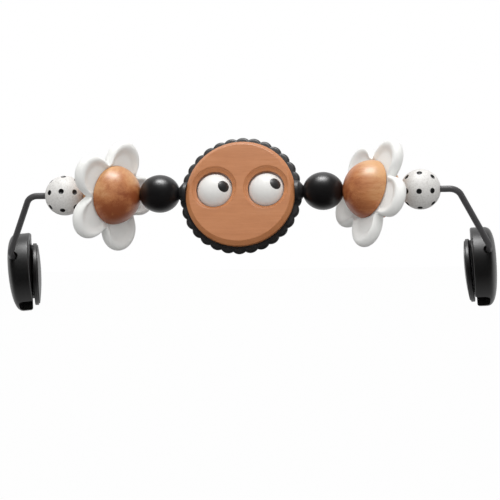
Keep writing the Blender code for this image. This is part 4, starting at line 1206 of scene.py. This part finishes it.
def hinge_spring(side, material):
    label = LABELS[side]
    start = -SPRING_SEAT - SEAT_GAP - SPRING_WIRE
    coil = []
    for step in range(int(SPRING_TURNS * COIL_STEPS) + 1):
        turn = FULL_TURN * step / COIL_STEPS
        z = start - SPRING_PITCH * turn / FULL_TURN
        coil.append(Vector((SPRING_RADIUS * math.cos(turn), SPRING_RADIUS * math.sin(turn), z)))
    points = [coil[0] - AXIS_Y * SPRING_LEG] + coil + [coil[-1] - AXIS_Y * SPRING_LEG]
    place = clip_place(side) @ on_hinge(side) @ mirror_matrix(side)
    wire = swept([place @ point for point in points], SPRING_WIRE, WIRE_SIDES)
    spring = shape("spring", wire, material=material)
    fitted(spring, label + "_hinge_spring", label + "_clip")


def all_pieces():
    white = satin_paint(
        "petal_paint", pale=(0.915, 0.915, 0.89), shadow=(0.89, 0.89, 0.865), roughness=0.5, sheen=0.15,
    )
    eye_white = satin_paint(
        "eye_paint", pale=(0.82, 0.81, 0.785), shadow=(0.78, 0.77, 0.745), roughness=0.4, sheen=0.15,
    )
    stippled = speckled_paint("stippled_paint")
    dot_paint = dark_skin(
        "dot_paint", shade=(0.008, 0.008, 0.008), lift=(0.02, 0.02, 0.02),
        roughness=0.3, scale=700.0, depth=0.03 * MM,
    )
    black = dark_skin(
        "bead_paint", shade=(0.007, 0.006, 0.0065), lift=(0.012, 0.011, 0.0115),
        roughness=0.37, scale=500.0, depth=0.03 * MM, sheen=0.6,
    )
    gloss = dark_skin(
        "pupil_gloss", shade=(0.022, 0.021, 0.021), lift=(0.03, 0.029, 0.029),
        roughness=0.4, scale=500.0, depth=0.01 * MM, sheen=0.7,
    )
    rubber = dark_skin(
        "ring_plastic", shade=(0.018, 0.0175, 0.018), lift=(0.028, 0.0275, 0.028),
        roughness=0.48, scale=800.0, depth=0.05 * MM, sheen=0.6,
    )
    plastic = dark_skin(
        "clip_plastic", shade=(0.007, 0.0065, 0.0065), lift=(0.012, 0.0115, 0.011),
        roughness=0.42, scale=900.0, depth=0.05 * MM, sheen=0.6,
    )
    coat = dark_skin(
        "rod_coat", shade=(0.075, 0.073, 0.075), lift=(0.09, 0.088, 0.09),
        roughness=0.5, scale=1100.0, depth=0.06 * MM,
    )
    steel = bright_wire("bright_wire")
    disc_beech = beech("disc_beech", disc_place(), DISC_BEECH, AXIS_X, figure=0.4)
    support_rod(coat)
    disc_half("front_disc_half", -1, disc_beech)
    disc_half("rear_disc_half", 1, disc_beech)
    scalloped_ring(rubber)
    for side in (LEFT, RIGHT):
        # Each ball's beech has painted shade towards its bottom and painted light at its top
        ball_beech = beech(
            LABELS[side] + "_ball_beech", flower_place(side), BALL_BEECH, Vector(BALL_FIBRES[side]),
            figure=0.7, painted_shade_toward=Vector(BALL_PAINTED_SHADE[side]) / BALL_ROUND,
        )
        eye(side, eye_white, gloss)
        black_bead(side, black)
        petal_plate(side, white)
        ball_halves(side, ball_beech)
        dotted_bead(side, stippled, dot_paint)
        clip_housing(side, plastic)
        clip_jaw(side, plastic)
        jaw_cover(side, plastic)
        hinge_pin(side, steel)
        hinge_spring(side, steel)


def studio_floor():
    """A floor that reads as white to the camera and takes a faint shadow. Gloss sees it white from
    the rod backwards, and dim in front, where the studio is dark."""
    low, far = cad_box[0].z, FLOOR_REACH
    bm = bmesh.new()
    bm.faces.new([bm.verts.new((x, y, low)) for x, y in ((-far, -far), (far, -far), (far, far), (-far, far))])
    finish = Finish("floor_white")
    finish.feed(finish.shader, {"Base Color": (*FLOOR_SHADE, 1.0), "Roughness": 0.9})
    depth = finish.node("ShaderNodeSeparateXYZ", None, {0: finish.place()}, "Y")
    behind = finish.eased(depth, *FLOOR_GLOSS_FADE)
    camera, glossy, clear = finish.rays("Camera", "Glossy", "Transmission")
    strength = 1.0 - glossy * (1.0 - behind)
    glow = finish.node("ShaderNodeEmission", None, {"Color": (1.0, 1.0, 1.0, 1.0), "Strength": strength})
    seen = camera.maths("MAXIMUM", camera * FLOOR_GLOW_SHARE, camera.maths("MAXIMUM", glossy, clear))
    lit = Wire(finish, finish.shader.outputs[0])
    mixer = finish.node("ShaderNodeMixShader", None, {0: seen, 1: lit, 2: glow})
    finish.tree.links.new(mixer.socket, finish.tree.nodes["Material Output"].inputs["Surface"])
    shape("floor", bm, material=finish.material)


def studio_world():
    """The camera sees white. Gloss sees white behind and a dark room in front, and dull
    surfaces get even light from all round with a soft fill from the front and above."""
    sky = Backdrop()
    direction = sky.node("ShaderNodeTexCoord", output="Generated")
    depth = sky.node("ShaderNodeSeparateXYZ", None, {0: direction}, "Y")
    camera, glossy, clear = sky.rays("Camera", "Glossy", "Transmission")
    mirrored = sky.eased(depth, *SKY_GLOSS_FADE)
    filled = sky.eased(sky.dot(direction, FILL_FROM), FILL_EDGE, 1.0, AMBIENT, AMBIENT + FILL)
    white = camera.maths("MAXIMUM", camera, clear)
    hidden = filled + glossy * (mirrored - filled)
    strength = white + (1.0 - white) * hidden
    sky.feed(sky.shader, {"Color": (1.0, 1.0, 1.0, 1.0), "Strength": strength})


def softbox(name, size, place, brightness, for_gloss):
    """A soft light overhead: a wide one for dull surfaces, and a smaller one for the highlights."""
    light = bpy.data.lights.new(name, "AREA")
    light.shape = "RECTANGLE"
    light.size, light.size_y = size
    light.energy = brightness * math.pi * light.size * light.size_y
    made = bpy.data.objects.new(name, light)
    bpy.context.scene.collection.objects.link(made)
    made.location = place
    made.rotation_euler = (-Vector(place)).to_track_quat("-Z", "Y").to_euler()
    made.visible_glossy = for_gloss
    made.visible_diffuse = not for_gloss


def studio_camera():
    """The photograph's view: level, from a little right of the front."""
    data = bpy.data.cameras.new("camera")
    data.sensor_width = SENSOR_WIDTH
    data.lens = data.sensor_width * VIEW_DISTANCE / PICTURE_WIDTH
    made = bpy.data.objects.new("camera", data)
    bpy.context.scene.collection.objects.link(made)
    bpy.context.scene.camera = made
    level = Matrix.Rotation(VIEW_TURN, 4, "Z") @ Matrix.Rotation(math.pi / 2.0, 4, "X")
    turn = level @ Matrix.Rotation(-VIEW_ROLL, 4, "Z")
    across, up = ROD_IN_PICTURE
    place = ROD_ORIGIN + turn @ Vector((-across, -up, VIEW_DISTANCE))
    made.matrix_world = Matrix.Translation(place) @ turn


all_pieces()
studio_floor()
studio_world()
softbox("overhead_softbox", SOFTBOX_SIZE, SOFTBOX_PLACE, SOFTBOX_BRIGHTNESS, False)
softbox("overhead_sheen", SHEEN_SIZE, SHEEN_PLACE, SHEEN_BRIGHTNESS, True)
studio_camera()
bpy.context.scene.view_settings.view_transform = "Standard"
